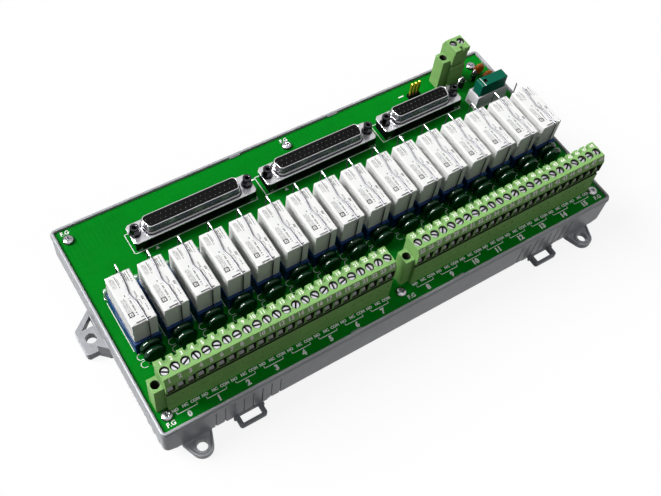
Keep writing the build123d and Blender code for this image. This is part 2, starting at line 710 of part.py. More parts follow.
def jack_nut():
    """Hexagonal lock post on the flange."""
    post = extrude(RegularPolygon(NUT_FLATS / 2, 6, major_radius=False), amount=NUT_HEIGHT)
    return Pos(0, 0, FLANGE_TOP) * (post - rod(NUT_HOLE, NUT_HEIGHT / 3, NUT_HEIGHT))


# Fuse, jumper and small parts

def fuse_holder():
    """White base with a well for the fuse."""
    body = block(-HOLDER_LENGTH / 2, HOLDER_LENGTH / 2, -HOLDER_WIDTH / 2, HOLDER_WIDTH / 2, 0, HOLDER_HEIGHT)
    half = FUSE_LENGTH / 2 + HOLDER_CLEARANCE
    side = FUSE_WIDTH / 2 + HOLDER_CLEARANCE
    return body - block(-half, half, -side, side, HOLDER_HEIGHT - FUSE_ROOT - HOLDER_CLEARANCE, HOLDER_HEIGHT)


def fuse_cartridge():
    """Coloured fuse carrier, sloped down at its left end."""
    low = HOLDER_HEIGHT - FUSE_ROOT
    top = HOLDER_HEIGHT + FUSE_HEIGHT
    half = FUSE_LENGTH / 2
    outline = Polyline((-half, low), (half, low), (half, top), (-half + FUSE_SLOPE, top),
                       (-half, HOLDER_HEIGHT), close=True)
    side = extrude(Plane.XZ * make_face(outline), amount=FUSE_WIDTH / 2, both=True)
    return side


def jumper_header():
    """Three square pins in a black base, as one moulded part."""
    span = JUMPER_PINS * JUMPER_PITCH
    base = block(-span / 2, span / 2, -JUMPER_BASE / 2, JUMPER_BASE / 2, 0, JUMPER_BASE)
    half = JUMPER_PIN / 2
    for pin in range(JUMPER_PINS):
        x = (pin - (JUMPER_PINS - 1) / 2) * JUMPER_PITCH
        base += block(x - half, x + half, -half, half, 0, JUMPER_HEIGHT)
    return base


def build():
    """Every piece of the board."""
    save("base_tray", base_tray())
    for name, side in (("left", -1), ("right", 1)):
        save("din_latch_" + name, Pos(side * LATCH_FROM_MIDDLE, 0) * din_latch())
    save("circuit_board", circuit_board())
    save("board_screws", group(on_board(x, y) * board_screw() for x, y in board_screw_places()))

    screws = []
    clamps = []
    for name, (place, poles, pillar_side) in block_places().items():
        save("terminal_header_" + name, place * header(poles, pillar_side))
        save("terminal_plug_" + name, place * plug(poles))
        for pole in range(poles):
            screws.append(place * Pos(pole * PITCH, 0) * plug_screw())
            clamps.append(place * Pos(pole * PITCH, 0) * plug_clamp())
    save("terminal_screws", group(screws))
    save("wire_clamps", group(clamps))

    for index in range(CHANNELS):
        place = on_board(relay_middle(index), RELAY_FRONT)
        save("relay_socket_" + str(index), place * socket())
        save("relay_" + str(index), place * relay())
    save("relay_clips", group(on_board(relay_middle(index), RELAY_FRONT) * relay_clip()
                              for index in range(CHANNELS)))
    disc = standing_disc(DISC_RADIUS, DISC_THICKNESS, DISC_LIFT)
    save("varistors", group(on_board(relay_middle(index), RELAY_FRONT - ahead) * disc
                            for index in range(CHANNELS) for ahead in DISCS_BEFORE_RELAY))
    lamp_row = RELAY_FRONT + RELAY_LENGTH + LAMP_BEHIND_RELAY
    from_middle = LAMP_INSET - SOCKET_WIDTH / 2
    save("channel_lamps", group(on_board(relay_middle(index) + from_middle, lamp_row) * lamp()
                                for index in range(CHANNELS)))

    nuts = []
    for name, (middle, length, spacing) in zip(("left", "middle", "right"), dsub_places()):
        place = on_board(middle, BOARD_WIDTH - DSUB_FROM_REAR)
        save("connector_shell_" + name, place * dsub_shell(length))
        save("connector_body_" + name, place * dsub_body(length))
        nuts += [place * Pos(x, 0) * jack_nut() for x in (-spacing / 2, spacing / 2)]
    save("jack_nuts", group(nuts))

    fuse_place = from_rear(FUSE_FROM_RIGHT, FUSE_FROM_REAR)
    save("fuse_holder", fuse_place * fuse_holder())
    save("fuse", fuse_place * fuse_cartridge())
    save("jumper_header", from_rear(JUMPER_FROM_RIGHT, JUMPER_FROM_REAR) * jumper_header())
    disc = standing_disc(SMALL_DISC_RADIUS, SMALL_DISC_THICKNESS, SMALL_DISC_LIFT)
    save("disc_capacitors", group(from_rear(x, y) * disc for x, y in SMALL_DISCS))
    diode = prism(DIODE_RADIUS, LAMP_SIDES, 0, DIODE_HEIGHT)
    save("standing_diodes", group(from_rear(x, y) * diode for x, y in DIODES))


os.makedirs("parts", exist_ok=True)
build()
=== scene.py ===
# %% [markdown]
# # Dressing a relay module board
#
# The board is a long green circuit board in a grey moulded tray. Sixteen white relays stand in a
# row on it, with plug-in terminal blocks in front of them and three wide connectors behind them.
# The construction comes from a CAD model, where every piece has its real size and place. This
# script gives those pieces their finish and the small forms that the plain solids leave out.
# We load the model first and keep its parts by the names of their nodes. Nothing made here may
# outgrow it.

# %% Load the frame
import math
import random

import bmesh
import bpy
from mathutils import Matrix, Vector


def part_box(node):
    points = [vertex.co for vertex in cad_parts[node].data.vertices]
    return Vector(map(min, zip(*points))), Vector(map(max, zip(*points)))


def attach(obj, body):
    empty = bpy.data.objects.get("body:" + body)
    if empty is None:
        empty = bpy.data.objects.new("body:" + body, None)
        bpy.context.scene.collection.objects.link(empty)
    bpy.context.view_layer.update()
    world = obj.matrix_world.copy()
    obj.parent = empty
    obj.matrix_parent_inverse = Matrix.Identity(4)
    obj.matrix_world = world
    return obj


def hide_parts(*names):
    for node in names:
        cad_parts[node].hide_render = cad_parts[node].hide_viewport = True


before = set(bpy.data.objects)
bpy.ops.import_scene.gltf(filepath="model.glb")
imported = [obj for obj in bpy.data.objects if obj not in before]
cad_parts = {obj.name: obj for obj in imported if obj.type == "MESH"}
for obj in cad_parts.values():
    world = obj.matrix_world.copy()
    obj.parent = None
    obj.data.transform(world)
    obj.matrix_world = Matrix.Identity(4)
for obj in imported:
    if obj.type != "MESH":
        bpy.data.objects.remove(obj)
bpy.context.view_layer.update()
MODULE = "module"
MM = 0.001

# %% [markdown]
# ## Where things stand
#
# The places on the board are easiest to think of as a board maker does: so far from its left
# front corner, and so high above its top. The board's own box gives that corner, so the numbers
# below are the ones that would stand on a drawing, in millimetres.

# %% Board corner and the rows on it
board_low, board_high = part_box("circuit_board")
BOARD_LENGTH = (board_high.x - board_low.x) / MM
BOARD_WIDTH = (board_high.y - board_low.y) / MM
BOARD_TOP = board_high.z / MM
PITCH = 5.08
POLES = 24
POWER_POLES = 2
CHANNELS = 16
FIRST_POLES = (9.03, 143.93)
POLE_ROW = 14.05
RELAY_WIDTH = 12.4
RELAY_LENGTH = 28.7
RELAY_HEIGHT = 15.7
SOCKET_HEIGHT = 9.2
SOCKET_WIDTH = 13.4


def on_board(x, y, z=0.0, turn=0.0):
    """A placing matrix in millimetres, from the board's left front corner."""
    corner = Vector((board_low.x, board_low.y, board_high.z)) / MM
    return Matrix.Translation(corner + Vector((x, y, z))) @ Matrix.Rotation(math.radians(turn), 4, "Z")


def middle_of(node):
    """Middle of a CAD node's box seen from above, in board millimetres."""
    low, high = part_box(node)
    return ((low.x + high.x) / 2 - board_low.x) / MM, ((low.y + high.y) / 2 - board_low.y) / MM


relay_x = [middle_of("relay_" + str(index))[0] for index in range(CHANNELS)]
relay_front = (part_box("relay_0")[0].y - board_low.y) / MM
print("board", round(BOARD_LENGTH, 2), "x", round(BOARD_WIDTH, 2), "mm")
print("relay pitch", round(relay_x[1] - relay_x[0], 3), "mm")

# %% [markdown]
# ## The camera
#
# The picture looks down on the board from the front left, from about half a metre. The place,
# the two directions and the focal length were worked out from the board's corners and the
# regular pitch of its terminals, so the render lies over the photograph.

# %% Camera at the photograph's viewpoint
camera_data = bpy.data.cameras.new("photo_camera")
camera = bpy.data.objects.new("photo_camera", camera_data)
bpy.context.scene.collection.objects.link(camera)
EYE = Vector((-0.17906, -0.20148, 0.41131))
RIGHT = Vector((0.8406, -0.5336, 0.0935)).normalized()
FORWARD = Vector((0.3521, 0.4071, -0.8428)).normalized()
up = RIGHT.cross(FORWARD).normalized()
right = FORWARD.cross(up)
camera.matrix_world = Matrix((
    (right.x, up.x, -FORWARD.x, EYE.x),
    (right.y, up.y, -FORWARD.y, EYE.y),
    (right.z, up.z, -FORWARD.z, EYE.z),
    (0, 0, 0, 1),
))
FOCAL_PIXELS = 894.07
PICTURE_WIDTH = 661
camera_data.sensor_width = 36
camera_data.sensor_fit = "HORIZONTAL"
camera_data.lens = FOCAL_PIXELS / PICTURE_WIDTH * camera_data.sensor_width
camera_data.clip_start = 0.01
camera_data.clip_end = 20
bpy.context.scene.camera = camera
print("lens", round(camera_data.lens, 2), "mm")

# %% [markdown]
# ## Colours
#
# Screens store colours in sRGB, while Blender mixes light in linear values. Colours are read off
# a picture in the first and written to a shader in the second, so one small function stands
# between the two.

# %% Colour helper


def srgb(red, green, blue):
    """A screen colour from 0 to 255 as the linear colour that a shader takes."""
    def linear(value):
        value = value / 255
        return value / 12.92 if value <= 0.04045 else ((value + 0.055) / 1.055) ** 2.4
    return (linear(red), linear(green), linear(blue), 1.0)


print("middle grey in linear values:", round(srgb(128, 128, 128)[0], 3))

# %% [markdown]
# ## Surface effects that several materials share
#
# An effect that many materials need is made once, as a node group with its own inputs, so every
# material can have its own amount of it. A group could also hold the shader itself, but a
# material is easier to read and to repaint when its shader stays in plain sight and the groups
# only hand it colours, values and heights. Four small helpers keep the node code short.

# %% Helpers for groups and nodes


def new_group(name, inputs, outputs):
    """An empty node group with its sockets, given as name, kind and value."""
    group = bpy.data.node_groups.new(name, "ShaderNodeTree")
    for label, kind, value in inputs:
        socket = group.interface.new_socket(label, in_out="INPUT", socket_type=kind)
        socket.default_value = value
    for label, kind in outputs:
        group.interface.new_socket(label, in_out="OUTPUT", socket_type=kind)
    return group, group.nodes.new("NodeGroupInput"), group.nodes.new("NodeGroupOutput")


def add_noise(tree, coordinate, scale, detail=3.0, roughness=0.5):
    """A noise texture on a coordinate; the scale is a number or a socket."""
    noise = tree.nodes.new("ShaderNodeTexNoise")
    noise.inputs["Detail"].default_value = detail
    noise.inputs["Roughness"].default_value = roughness
    tree.links.new(coordinate, noise.inputs["Vector"])
    if isinstance(scale, (int, float)):
        noise.inputs["Scale"].default_value = scale
    else:
        tree.links.new(scale, noise.inputs["Scale"])
    return noise.outputs["Fac"]


def add_math(tree, operation, first, second):
    """A math node on two numbers or sockets."""
    node = tree.nodes.new("ShaderNodeMath")
    node.operation = operation
    for socket, value in zip(node.inputs, (first, second)):
        if isinstance(value, (int, float)):
            socket.default_value = value
        else:
            tree.links.new(value, socket)
    return node.outputs[0]


def add_range(tree, value, low, high):
    """Spreads a noise value, which stays near its middle, from low to high."""
    node = tree.nodes.new("ShaderNodeMapRange")
    node.inputs["From Min"].default_value = 0.3
    node.inputs["From Max"].default_value = 0.7
    tree.links.new(value, node.inputs["Value"])
    for label, amount in (("To Min", low), ("To Max", high)):
        if isinstance(amount, (int, float)):
            node.inputs[label].default_value = amount
        else:
            tree.links.new(amount, node.inputs[label])
    return node.outputs["Result"]


print("node helpers:", [helper.__name__ for helper in (new_group, add_noise, add_math, add_range)])

# %% [markdown]
# ## Moulded plastic
#
# Moulded plastic is never one flat colour. The tool that it was pressed in leaves a fine grain,
# the flow of the melt leaves faint clouds, and hands dull the gloss in patches. Three noises of
# different sizes, in the object's own coordinates, give all of that without any picture.

# %% Clouds, grain and dulled patches
moulded, moulded_in, moulded_out = new_group(
    "Moulded plastic",
    (("Colour", "NodeSocketColor", (0.5, 0.5, 0.5, 1)), ("Clouds", "NodeSocketFloat", 0.06),
     ("Roughness", "NodeSocketFloat", 0.4), ("Dulling", "NodeSocketFloat", 0.12),
     ("Grain size", "NodeSocketFloat", 4000.0)),
    (("Colour", "NodeSocketColor"), ("Roughness", "NodeSocketFloat"), ("Grain", "NodeSocketFloat")))
place = moulded.nodes.new("ShaderNodeTexCoord").outputs["Object"]
clouds = add_noise(moulded, place, 90.0, 4.0)
darker = add_math(moulded, "SUBTRACT", 1.0, moulded_in.outputs["Clouds"])
brighter = add_math(moulded, "ADD", 1.0, moulded_in.outputs["Clouds"])
factor = add_range(moulded, clouds, darker, brighter)
shade = moulded.nodes.new("ShaderNodeVectorMath")
shade.operation = "SCALE"
moulded.links.new(moulded_in.outputs["Colour"], shade.inputs[0])
moulded.links.new(factor, shade.inputs["Scale"])
moulded.links.new(shade.outputs[0], moulded_out.inputs["Colour"])
patches = add_noise(moulded, place, 260.0, 5.0, 0.65)
dull = add_range(moulded, patches, 0.0, moulded_in.outputs["Dulling"])
dulled = add_math(moulded, "ADD", moulded_in.outputs["Roughness"], dull)
moulded.links.new(dulled, moulded_out.inputs["Roughness"])
grain = add_noise(moulded, place, moulded_in.outputs["Grain size"], 2.0)
moulded.links.new(grain, moulded_out.inputs["Grain"])
print("moulded plastic nodes:", len(moulded.nodes))

# %% [markdown]
# ## Dust on what faces up
#
# Whatever lies level gathers a little dust, and a surface that stands upright stays clean. The
# upward part of the surface's direction, broken up by a noise, gives a mask for it.

# %% Dust mask
dust, dust_in, dust_out = new_group(
    "Settled dust",
    (("Colour", "NodeSocketColor", (0.5, 0.5, 0.5, 1)), ("Amount", "NodeSocketFloat", 0.1)),
    (("Colour", "NodeSocketColor"),))
normal = dust.nodes.new("ShaderNodeNewGeometry").outputs["Normal"]
parts = dust.nodes.new("ShaderNodeSeparateXYZ")
dust.links.new(normal, parts.inputs[0])
facing_up = add_math(dust, "MAXIMUM", parts.outputs["Z"], 0.0)
place = dust.nodes.new("ShaderNodeTexCoord").outputs["Object"]
speckle = add_range(dust, add_noise(dust, place, 900.0, 6.0, 0.7), 0.0, dust_in.outputs["Amount"])
blend = dust.nodes.new("ShaderNodeMix")
blend.data_type = "RGBA"
dust.links.new(add_math(dust, "MULTIPLY", facing_up, speckle), blend.inputs["Factor"])
dust.links.new(dust_in.outputs["Colour"], blend.inputs["A"])
blend.inputs["B"].default_value = srgb(205, 205, 200)
dust.links.new(blend.outputs["Result"], dust_out.inputs["Colour"])
print("settled dust nodes:", len(dust.nodes))

# %% [markdown]
# ## Plated metal
#
# Bright plating on stamped steel is not a perfect mirror. It has long waves from rolling the
# sheet, fine streaks along the stroke of the tool, and a few duller spots. The group gives a
# roughness that varies and a height for the waves.

# %% Plating: waves, streaks and spots
plating, plating_in, plating_out = new_group(
    "Plating",
    (("Colour", "NodeSocketColor", (0.8, 0.8, 0.8, 1)), ("Roughness", "NodeSocketFloat", 0.15),
     ("Tarnish", "NodeSocketFloat", 0.15)),
    (("Colour", "NodeSocketColor"), ("Roughness", "NodeSocketFloat"), ("Waves", "NodeSocketFloat")))
place = plating.nodes.new("ShaderNodeTexCoord").outputs["Object"]
stretch = plating.nodes.new("ShaderNodeMapping")
stretch.inputs["Scale"].default_value = (1.0, 8.0, 8.0)
plating.links.new(place, stretch.inputs["Vector"])
streaks = add_noise(plating, stretch.outputs["Vector"], 700.0, 3.0)
spots = add_range(plating, add_noise(plating, place, 420.0, 5.0, 0.7), 0.0, plating_in.outputs["Tarnish"])
streaked = add_math(plating, "MULTIPLY", streaks, spots)
uneven = add_math(plating, "ADD", plating_in.outputs["Roughness"], streaked)
plating.links.new(uneven, plating_out.inputs["Roughness"])
fade = plating.nodes.new("ShaderNodeVectorMath")
fade.operation = "SCALE"
plating.links.new(plating_in.outputs["Colour"], fade.inputs[0])
plating.links.new(add_math(plating, "SUBTRACT", 1.0, spots), fade.inputs["Scale"])
plating.links.new(fade.outputs[0], plating_out.inputs["Colour"])
plating.links.new(add_noise(plating, place, 160.0, 1.0), plating_out.inputs["Waves"])
print("node groups:", [group.name for group in (moulded, dust, plating)])

# %% [markdown]
# ## What every material needs
#
# Each material starts as a plain shader, and nearly all of them have a relief too fine to model,
# so both get a helper. The heights are real ones: a moulded grain is a few hundredths of a
# millimetre deep.

# %% Start of a material and its relief
GRAIN_HEIGHT = 0.05 * MM
WAVE_HEIGHT = 0.2 * MM


def new_material(name):
    """An empty material with its shader linked to the output."""
    material = bpy.data.materials.new(name)
    material.use_nodes = True
    return material, material.node_tree, material.node_tree.nodes["Principled BSDF"]


def add_bump(tree, shader, height, strength, distance):
    """Roughens the surface by a height, the distance in metres."""
    bump = tree.nodes.new("ShaderNodeBump")
    bump.inputs["Strength"].default_value = strength
    bump.inputs["Distance"].default_value = distance
    tree.links.new(height, bump.inputs["Height"])
    tree.links.new(bump.outputs["Normal"], shader.inputs["Normal"])


print("relief in mm: grain", GRAIN_HEIGHT / MM, "waves", WAVE_HEIGHT / MM)

# %% [markdown]
# ## Makers of plastic and metal
#
# A plastic takes its colour, roughness and grain from the groups, and a metal takes them from
# the plating. What is the same all over a surface, such as the strength of its reflection, is
# set straight on the shader.

# %% Two makers


def plastic(name, colour, roughness, clouds=0.05, grain=0.25, grain_size=4000, dusty=0.05, shine=0.15):
    """A moulded plastic."""
    material, tree, shader = new_material(name)
    surface = tree.nodes.new("ShaderNodeGroup")
    surface.node_tree = moulded
    surface.inputs["Colour"].default_value = colour
    surface.inputs["Clouds"].default_value = clouds
    surface.inputs["Roughness"].default_value = roughness
    surface.inputs["Grain size"].default_value = grain_size
    settled = tree.nodes.new("ShaderNodeGroup")
    settled.node_tree = dust
    settled.inputs["Amount"].default_value = dusty
    tree.links.new(surface.outputs["Colour"], settled.inputs["Colour"])
    tree.links.new(settled.outputs["Colour"], shader.inputs["Base Color"])
    tree.links.new(surface.outputs["Roughness"], shader.inputs["Roughness"])
    add_bump(tree, shader, surface.outputs["Grain"], grain, GRAIN_HEIGHT)
    shader.inputs["Specular IOR Level"].default_value = shine
    material.diffuse_color = colour
    return material


def metal(name, colour, roughness, tarnish=0.15, waves=0.05, metallic=1.0):
    """A plated or polished metal."""
    material, tree, shader = new_material(name)
    surface = tree.nodes.new("ShaderNodeGroup")
    surface.node_tree = plating
    surface.inputs["Colour"].default_value = colour
    surface.inputs["Roughness"].default_value = roughness
    surface.inputs["Tarnish"].default_value = tarnish
    tree.links.new(surface.outputs["Colour"], shader.inputs["Base Color"])
    tree.links.new(surface.outputs["Roughness"], shader.inputs["Roughness"])
    add_bump(tree, shader, surface.outputs["Waves"], waves, WAVE_HEIGHT)
    shader.inputs["Metallic"].default_value = metallic
    material.diffuse_color = colour
    return material


print("makers ready:", plastic.__name__, metal.__name__)

# %% [markdown]
# ## The plastics
#
# Each line is one plastic of the object, with its colour as it looks in plain white light, except
# the dark green, which is painted shade for the hollows of the terminal blocks. The dull ones carry
# more grain and a little dust, and the dipped discs are as glossy as wet paint.
# The four inks are plastics too, because paint and moulded plastic break up light alike.

# %% Plastics and inks
tray_grey = plastic("tray_grey", srgb(166, 168, 173), 0.36, 0.06, 0.35, 2600, 0.04, shine=0.28)
latch_grey = plastic("latch_grey", srgb(122, 125, 130), 0.38, 0.08, 0.4, 2600)
terminal_green = plastic("terminal_green", srgb(134, 184, 104), 0.45, 0.08, 0.5, 3200)
# Not a plastic of its own: painted shade for the wells, windows, bores and recesses of the terminal blocks.
painted_shade_green = plastic("painted_shade_green", srgb(34, 46, 24), 0.6, 0.1, 0.2, 3600, 0.0)
number_paint = plastic("number_paint", srgb(250, 250, 240), 0.5, 0.03, 0.1, 5000, 0.0)
relay_white = plastic("relay_white", srgb(244, 244, 243), 0.3, 0.02, 0.15, 5200, 0.0)
relay_print = plastic("relay_print", srgb(84, 85, 88), 0.45, 0.05, 0.1, 5000, 0.0)
relay_mark = plastic("relay_mark", srgb(26, 27, 30), 0.45, 0.05, 0.1, 5000, 0.0)
socket_blue = plastic("socket_blue", srgb(10, 58, 116), 0.34, 0.08, 0.35, 3600)
connector_black = plastic("connector_black", srgb(9, 9, 10), 0.38, 0.1, 0.3, 3600, 0.0, shine=0.05)
holder_white = plastic("holder_white", srgb(212, 211, 214), 0.4, 0.03, 0.3, 3600, 0.04)
fuse_teal = plastic("fuse_teal", srgb(8, 98, 76), 0.28, 0.08, 0.2, 3600, 0.0, shine=0.06)
varistor_green = plastic("varistor_green", srgb(0, 52, 22), 0.05, 0.15, 0.02, 900, 0.0, shine=0.25)
capacitor_orange = plastic("capacitor_orange", srgb(182, 96, 22), 0.2, 0.12, 0.3, 900, 0.0)
diode_black = plastic("diode_black", srgb(26, 26, 28), 0.3, 0.1, 0.2, 3600, 0.0)
print_white = plastic("print_white", srgb(250, 251, 250), 0.5, 0.04, 0.1, 5000, 0.0)
print("plastics and inks:", len(bpy.data.materials))

# %% [markdown]
# ## The metals
#
# Tin, nickel, gold and plain steel differ in colour and in how sharply they mirror. The shells of
# the connectors are not wholly metallic, because their satin plating scatters some light and
# would otherwise only show the green of the board.

# %% Metals
metal_count = len(bpy.data.materials)
shell_plating = metal("shell_plating", srgb(206, 205, 208), 0.22, 0.1, metallic=0.8)
# The dark steel of the lock posts, also used as painted shade and painted reflection on the shells.
post_steel_and_shell_shade = metal("post_steel_and_shell_shade", srgb(66, 66, 70), 0.1)
screw_steel = metal("screw_steel", srgb(158, 158, 162), 0.14, 0.2)
terminal_metal = metal("terminal_metal", srgb(196, 196, 200), 0.24, 0.2)
cage_metal = metal("cage_metal", srgb(104, 106, 104), 0.35, 0.2)
clip_wire = metal("clip_wire", srgb(84, 84, 88), 0.42, 0.2)
# Bright wire for the diode leads, also the painted highlight on the clips.
bright_wire_and_highlight = metal("bright_wire_and_highlight", srgb(232, 232, 234), 0.25, 0.1)
gold = metal("gold", srgb(250, 206, 72), 0.32, 0.1)
solder = metal("solder", srgb(196, 198, 200), 0.25, 0.3, 0.5)
print("metals:", len(bpy.data.materials) - metal_count)

# %% [markdown]
# ## The solder mask
#
# Under the green mask of a real board lie copper tracks, which show as slightly raised and
# darker bands. A picture of tracks would repeat badly, and modelling thousands of them would
# weigh the file down. A brick pattern stretched along the board, cut up by a noise, gives bands
# of the right width, and the gloss of the mask does the rest.

# %% Circuit board material
COPPER_HEIGHT = 0.04 * MM
solder_mask, tree, shader = new_material("solder_mask")
surface = tree.nodes.new("ShaderNodeGroup")
surface.node_tree = moulded
surface.inputs["Colour"].default_value = srgb(0, 133, 28)
surface.inputs["Clouds"].default_value = 0.05
surface.inputs["Roughness"].default_value = 0.22
surface.inputs["Grain size"].default_value = 2400.0
place = tree.nodes.new("ShaderNodeTexCoord").outputs["Object"]
tracks = tree.nodes.new("ShaderNodeTexBrick")
tracks.inputs["Scale"].default_value = 120.0
tracks.inputs["Mortar Size"].default_value = 0.06
tracks.inputs["Brick Width"].default_value = 0.28
tracks.inputs["Row Height"].default_value = 2.2
tracks.inputs["Color1"].default_value = (0, 0, 0, 1)
tracks.inputs["Color2"].default_value = (0, 0, 0, 1)
tracks.inputs["Mortar"].default_value = (1, 1, 1, 1)
tree.links.new(place, tracks.inputs["Vector"])
regions = add_range(tree, add_noise(tree, place, 26.0, 1.0), -0.6, 1.0)
band = add_math(tree, "MULTIPLY", tracks.outputs["Color"], add_math(tree, "MAXIMUM", regions, 0.0))
copper = tree.nodes.new("ShaderNodeMix")
copper.data_type = "RGBA"
tree.links.new(add_math(tree, "MULTIPLY", band, 0.3), copper.inputs["Factor"])
tree.links.new(surface.outputs["Colour"], copper.inputs["A"])
copper.inputs["B"].default_value = srgb(0, 108, 24)
tree.links.new(copper.outputs["Result"], shader.inputs["Base Color"])
tree.links.new(surface.outputs["Roughness"], shader.inputs["Roughness"])
add_bump(tree, shader, band, 0.3, COPPER_HEIGHT)
shader.inputs["Specular IOR Level"].default_value = 0.04
print("solder mask nodes:", len(tree.nodes))

# %% [markdown]
# ## Clear tinted lamps
#
# A lamp's lens is clear epoxy with a trace of green. It passes light and bends it, so it needs
# transmission and not just a pale colour.

# %% Lamp lens
lamp_green, tree, shader = new_material("lamp_green")
shader.inputs["Base Color"].default_value = srgb(196, 242, 208)
shader.inputs["Transmission Weight"].default_value = 0.45
shader.inputs["IOR"].default_value = 1.5
place = tree.nodes.new("ShaderNodeTexCoord").outputs["Object"]
haze = add_range(tree, add_noise(tree, place, 1200.0, 3.0), 0.06, 0.2)
tree.links.new(haze, shader.inputs["Roughness"])
print("materials:", len(bpy.data.materials))

# %% [markdown]
# ## Tools for building meshes
#
# Almost every piece here is a stack of outlines. A skin runs through a list of closed outlines
# with equal numbers of corners, so one helper makes rounded posts, discs, shells and beads. A
# block and a profile drawn along the board make the moulded parts.

# %% Outlines and skins


def skin(mesh, outlines, close_first=True, close_last=True, index=0):
    """Faces through a list of closed outlines of equal length."""
    rings = [[mesh.verts.new(point) for point in outline] for outline in outlines]
    faces = []
    for lower, upper in zip(rings, rings[1:]):
        count = len(lower)
        for corner in range(count):
            after = (corner + 1) % count
            faces.append(mesh.faces.new((lower[corner], lower[after], upper[after], upper[corner])))
    if close_first:
        faces.append(mesh.faces.new(list(reversed(rings[0]))))
    if close_last:
        faces.append(mesh.faces.new(rings[-1]))
    for face in faces:
        face.material_index = index


def circle(radius, z, sides, x=0.0, y=0.0):
    """Corners of a level circle."""
    turns = [math.tau * corner / sides for corner in range(sides)]
    return [(x + radius * math.cos(turn), y + radius * math.sin(turn), z) for turn in turns]


def turned(mesh, profile, sides=24, x=0.0, y=0.0, index=0):
    """A body turned on an upright axis from a list of radius and height."""
    skin(mesh, [circle(radius, z, sides, x, y) for radius, z in profile], index=index)


def block(mesh, x_low, x_high, y_low, y_high, z_low, z_high, index=0):
    """A box given by its six faces."""
    plan = ((x_low, y_low), (x_high, y_low), (x_high, y_high), (x_low, y_high))
    skin(mesh, [[(x, y, z) for x, y in plan] for z in (z_low, z_high)], index=index)


def drawn(mesh, points, x_low, x_high, index=0):
    """A side profile of y and z, drawn out along x."""
    skin(mesh, [[(x, y, z) for y, z in points] for x in (x_low, x_high)], index=index)


print("outline helpers:", [helper.__name__ for helper in (skin, circle, turned, block, drawn)])

# %% [markdown]
# ## Carving and copying
#
# A boolean cuts all the wells of a terminal block in one go, which is cleaner than bridging every
# hole by hand. The result is read back as a mesh, so that it can be copied and joined before it
# gets its bevels.

# %% Carve one mesh with another, and add placed copies


def to_mesh(name, mesh):
    """Writes a bmesh to mesh data, all faces outward, and frees it."""
    bmesh.ops.recalc_face_normals(mesh, faces=mesh.faces)
    data = bpy.data.meshes.new(name)
    mesh.to_mesh(data)
    mesh.free()
    return data


def carved(name, body, cutter):
    """Body less cutter, as mesh data."""
    objects = []
    for label, part in (("body", body), ("cutter", cutter)):
        item = bpy.data.objects.new(name + "_" + label, to_mesh(name + "_" + label, part))
        bpy.context.scene.collection.objects.link(item)
        objects.append(item)
    cut = objects[0].modifiers.new("carve", "BOOLEAN")
    cut.operation = "DIFFERENCE"
    cut.solver = "EXACT"
    cut.object = objects[1]
    bpy.context.view_layer.update()
    depsgraph = bpy.context.evaluated_depsgraph_get()
    result = bpy.data.meshes.new_from_object(objects[0].evaluated_get(depsgraph))
    result.name = name
    for item in objects:
        bpy.data.objects.remove(item)
    return result


def add_copy(mesh, data, place):
    """Adds a placed copy of mesh data to a bmesh."""
    before = len(mesh.verts)
    mesh.from_mesh(data)
    mesh.verts.ensure_lookup_table()
    bmesh.ops.transform(mesh, matrix=place, verts=mesh.verts[before:])


def copies(data, places):
    """A bmesh with one copy of mesh data at every place."""
    mesh = bmesh.new()
    for place in places:
        add_copy(mesh, data, place)
    return mesh


print("mesh helpers:", [helper.__name__ for helper in (to_mesh, carved, add_copy, copies)])

# %% [markdown]
# ## Showing a mesh as a piece
#
# A piece is drawn in millimetres, scaled once, and rides on the module. Bevels and weighted
# normals come last, as modifiers, because they catch the light along every edge and can still
# be changed. Where it stands for CAD nodes, those are hidden.

# %% Round the edges and show a piece


def round_edges(item, width, steps, angle, keep_sharp):
    """Bevels edges sharper than an angle by a width in millimetres, and evens out the shading."""
    soften = item.modifiers.new("soften", "BEVEL")
    soften.width = width * MM
    soften.segments = steps
    soften.limit_method = "ANGLE"
    soften.angle_limit = math.radians(angle)
    soften.use_clamp_overlap = False
    item.modifiers.new("weigh", "WEIGHTED_NORMAL").keep_sharp = keep_sharp


def piece(name, data, materials, nodes=(), slot=None, bevel=0.0, steps=2, place=None, sharp=35):
    """Shows a mesh drawn in millimetres as a piece that rides on the module."""
    item = bpy.data.objects.new(name, data)
    bpy.context.scene.collection.objects.link(item)
    if place is not None:
        item.matrix_world = Matrix.Translation(place.translation * MM) @ place.to_3x3().to_4x4()
    if not data.materials:
        data.transform(Matrix.Scale(MM, 4))
        for material in materials:
            data.materials.append(material)
    data.polygons.foreach_set("use_smooth", [True] * len(data.polygons))
    data.set_sharp_from_angle(angle=math.radians(sharp))
    if bevel:
        round_edges(item, bevel, steps, sharp, True)
    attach(item, MODULE)
    if nodes:
        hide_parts(*nodes)


print("piece helpers:", round_edges.__name__, piece.__name__)

# %% [markdown]
# ## Wires and letters
#
# A wire never bends sharply, so it is a smooth curve with a round section, turned into a mesh.
# Letters start as a text object, which Blender fills with flat faces, and end as part of one
# mesh for each kind of ink.

# %% Wires and letters added to a mesh


def wire(mesh, points, radius, index=0, steps=3, sides=2):
    """A round wire through control points, added to a bmesh."""
    curve = bpy.data.curves.new("wire", "CURVE")
    curve.dimensions = "3D"
    curve.bevel_depth = radius
    curve.bevel_resolution = sides
    curve.use_fill_caps = True
    curve.resolution_u = steps
    spline = curve.splines.new("NURBS")
    spline.points.add(len(points) - 1)
    for target, point in zip(spline.points, points):
        target.co = (*point, 1)
    spline.order_u = 3
    spline.use_endpoint_u = True
    item = bpy.data.objects.new("wire", curve)
    bpy.context.scene.collection.objects.link(item)
    data = bpy.data.meshes.new_from_object(item)
    before = len(mesh.faces)
    mesh.from_mesh(data)
    mesh.faces.ensure_lookup_table()
    for face in mesh.faces[before:]:
        face.material_index = index
    bpy.data.objects.remove(item)
    bpy.data.curves.remove(curve)


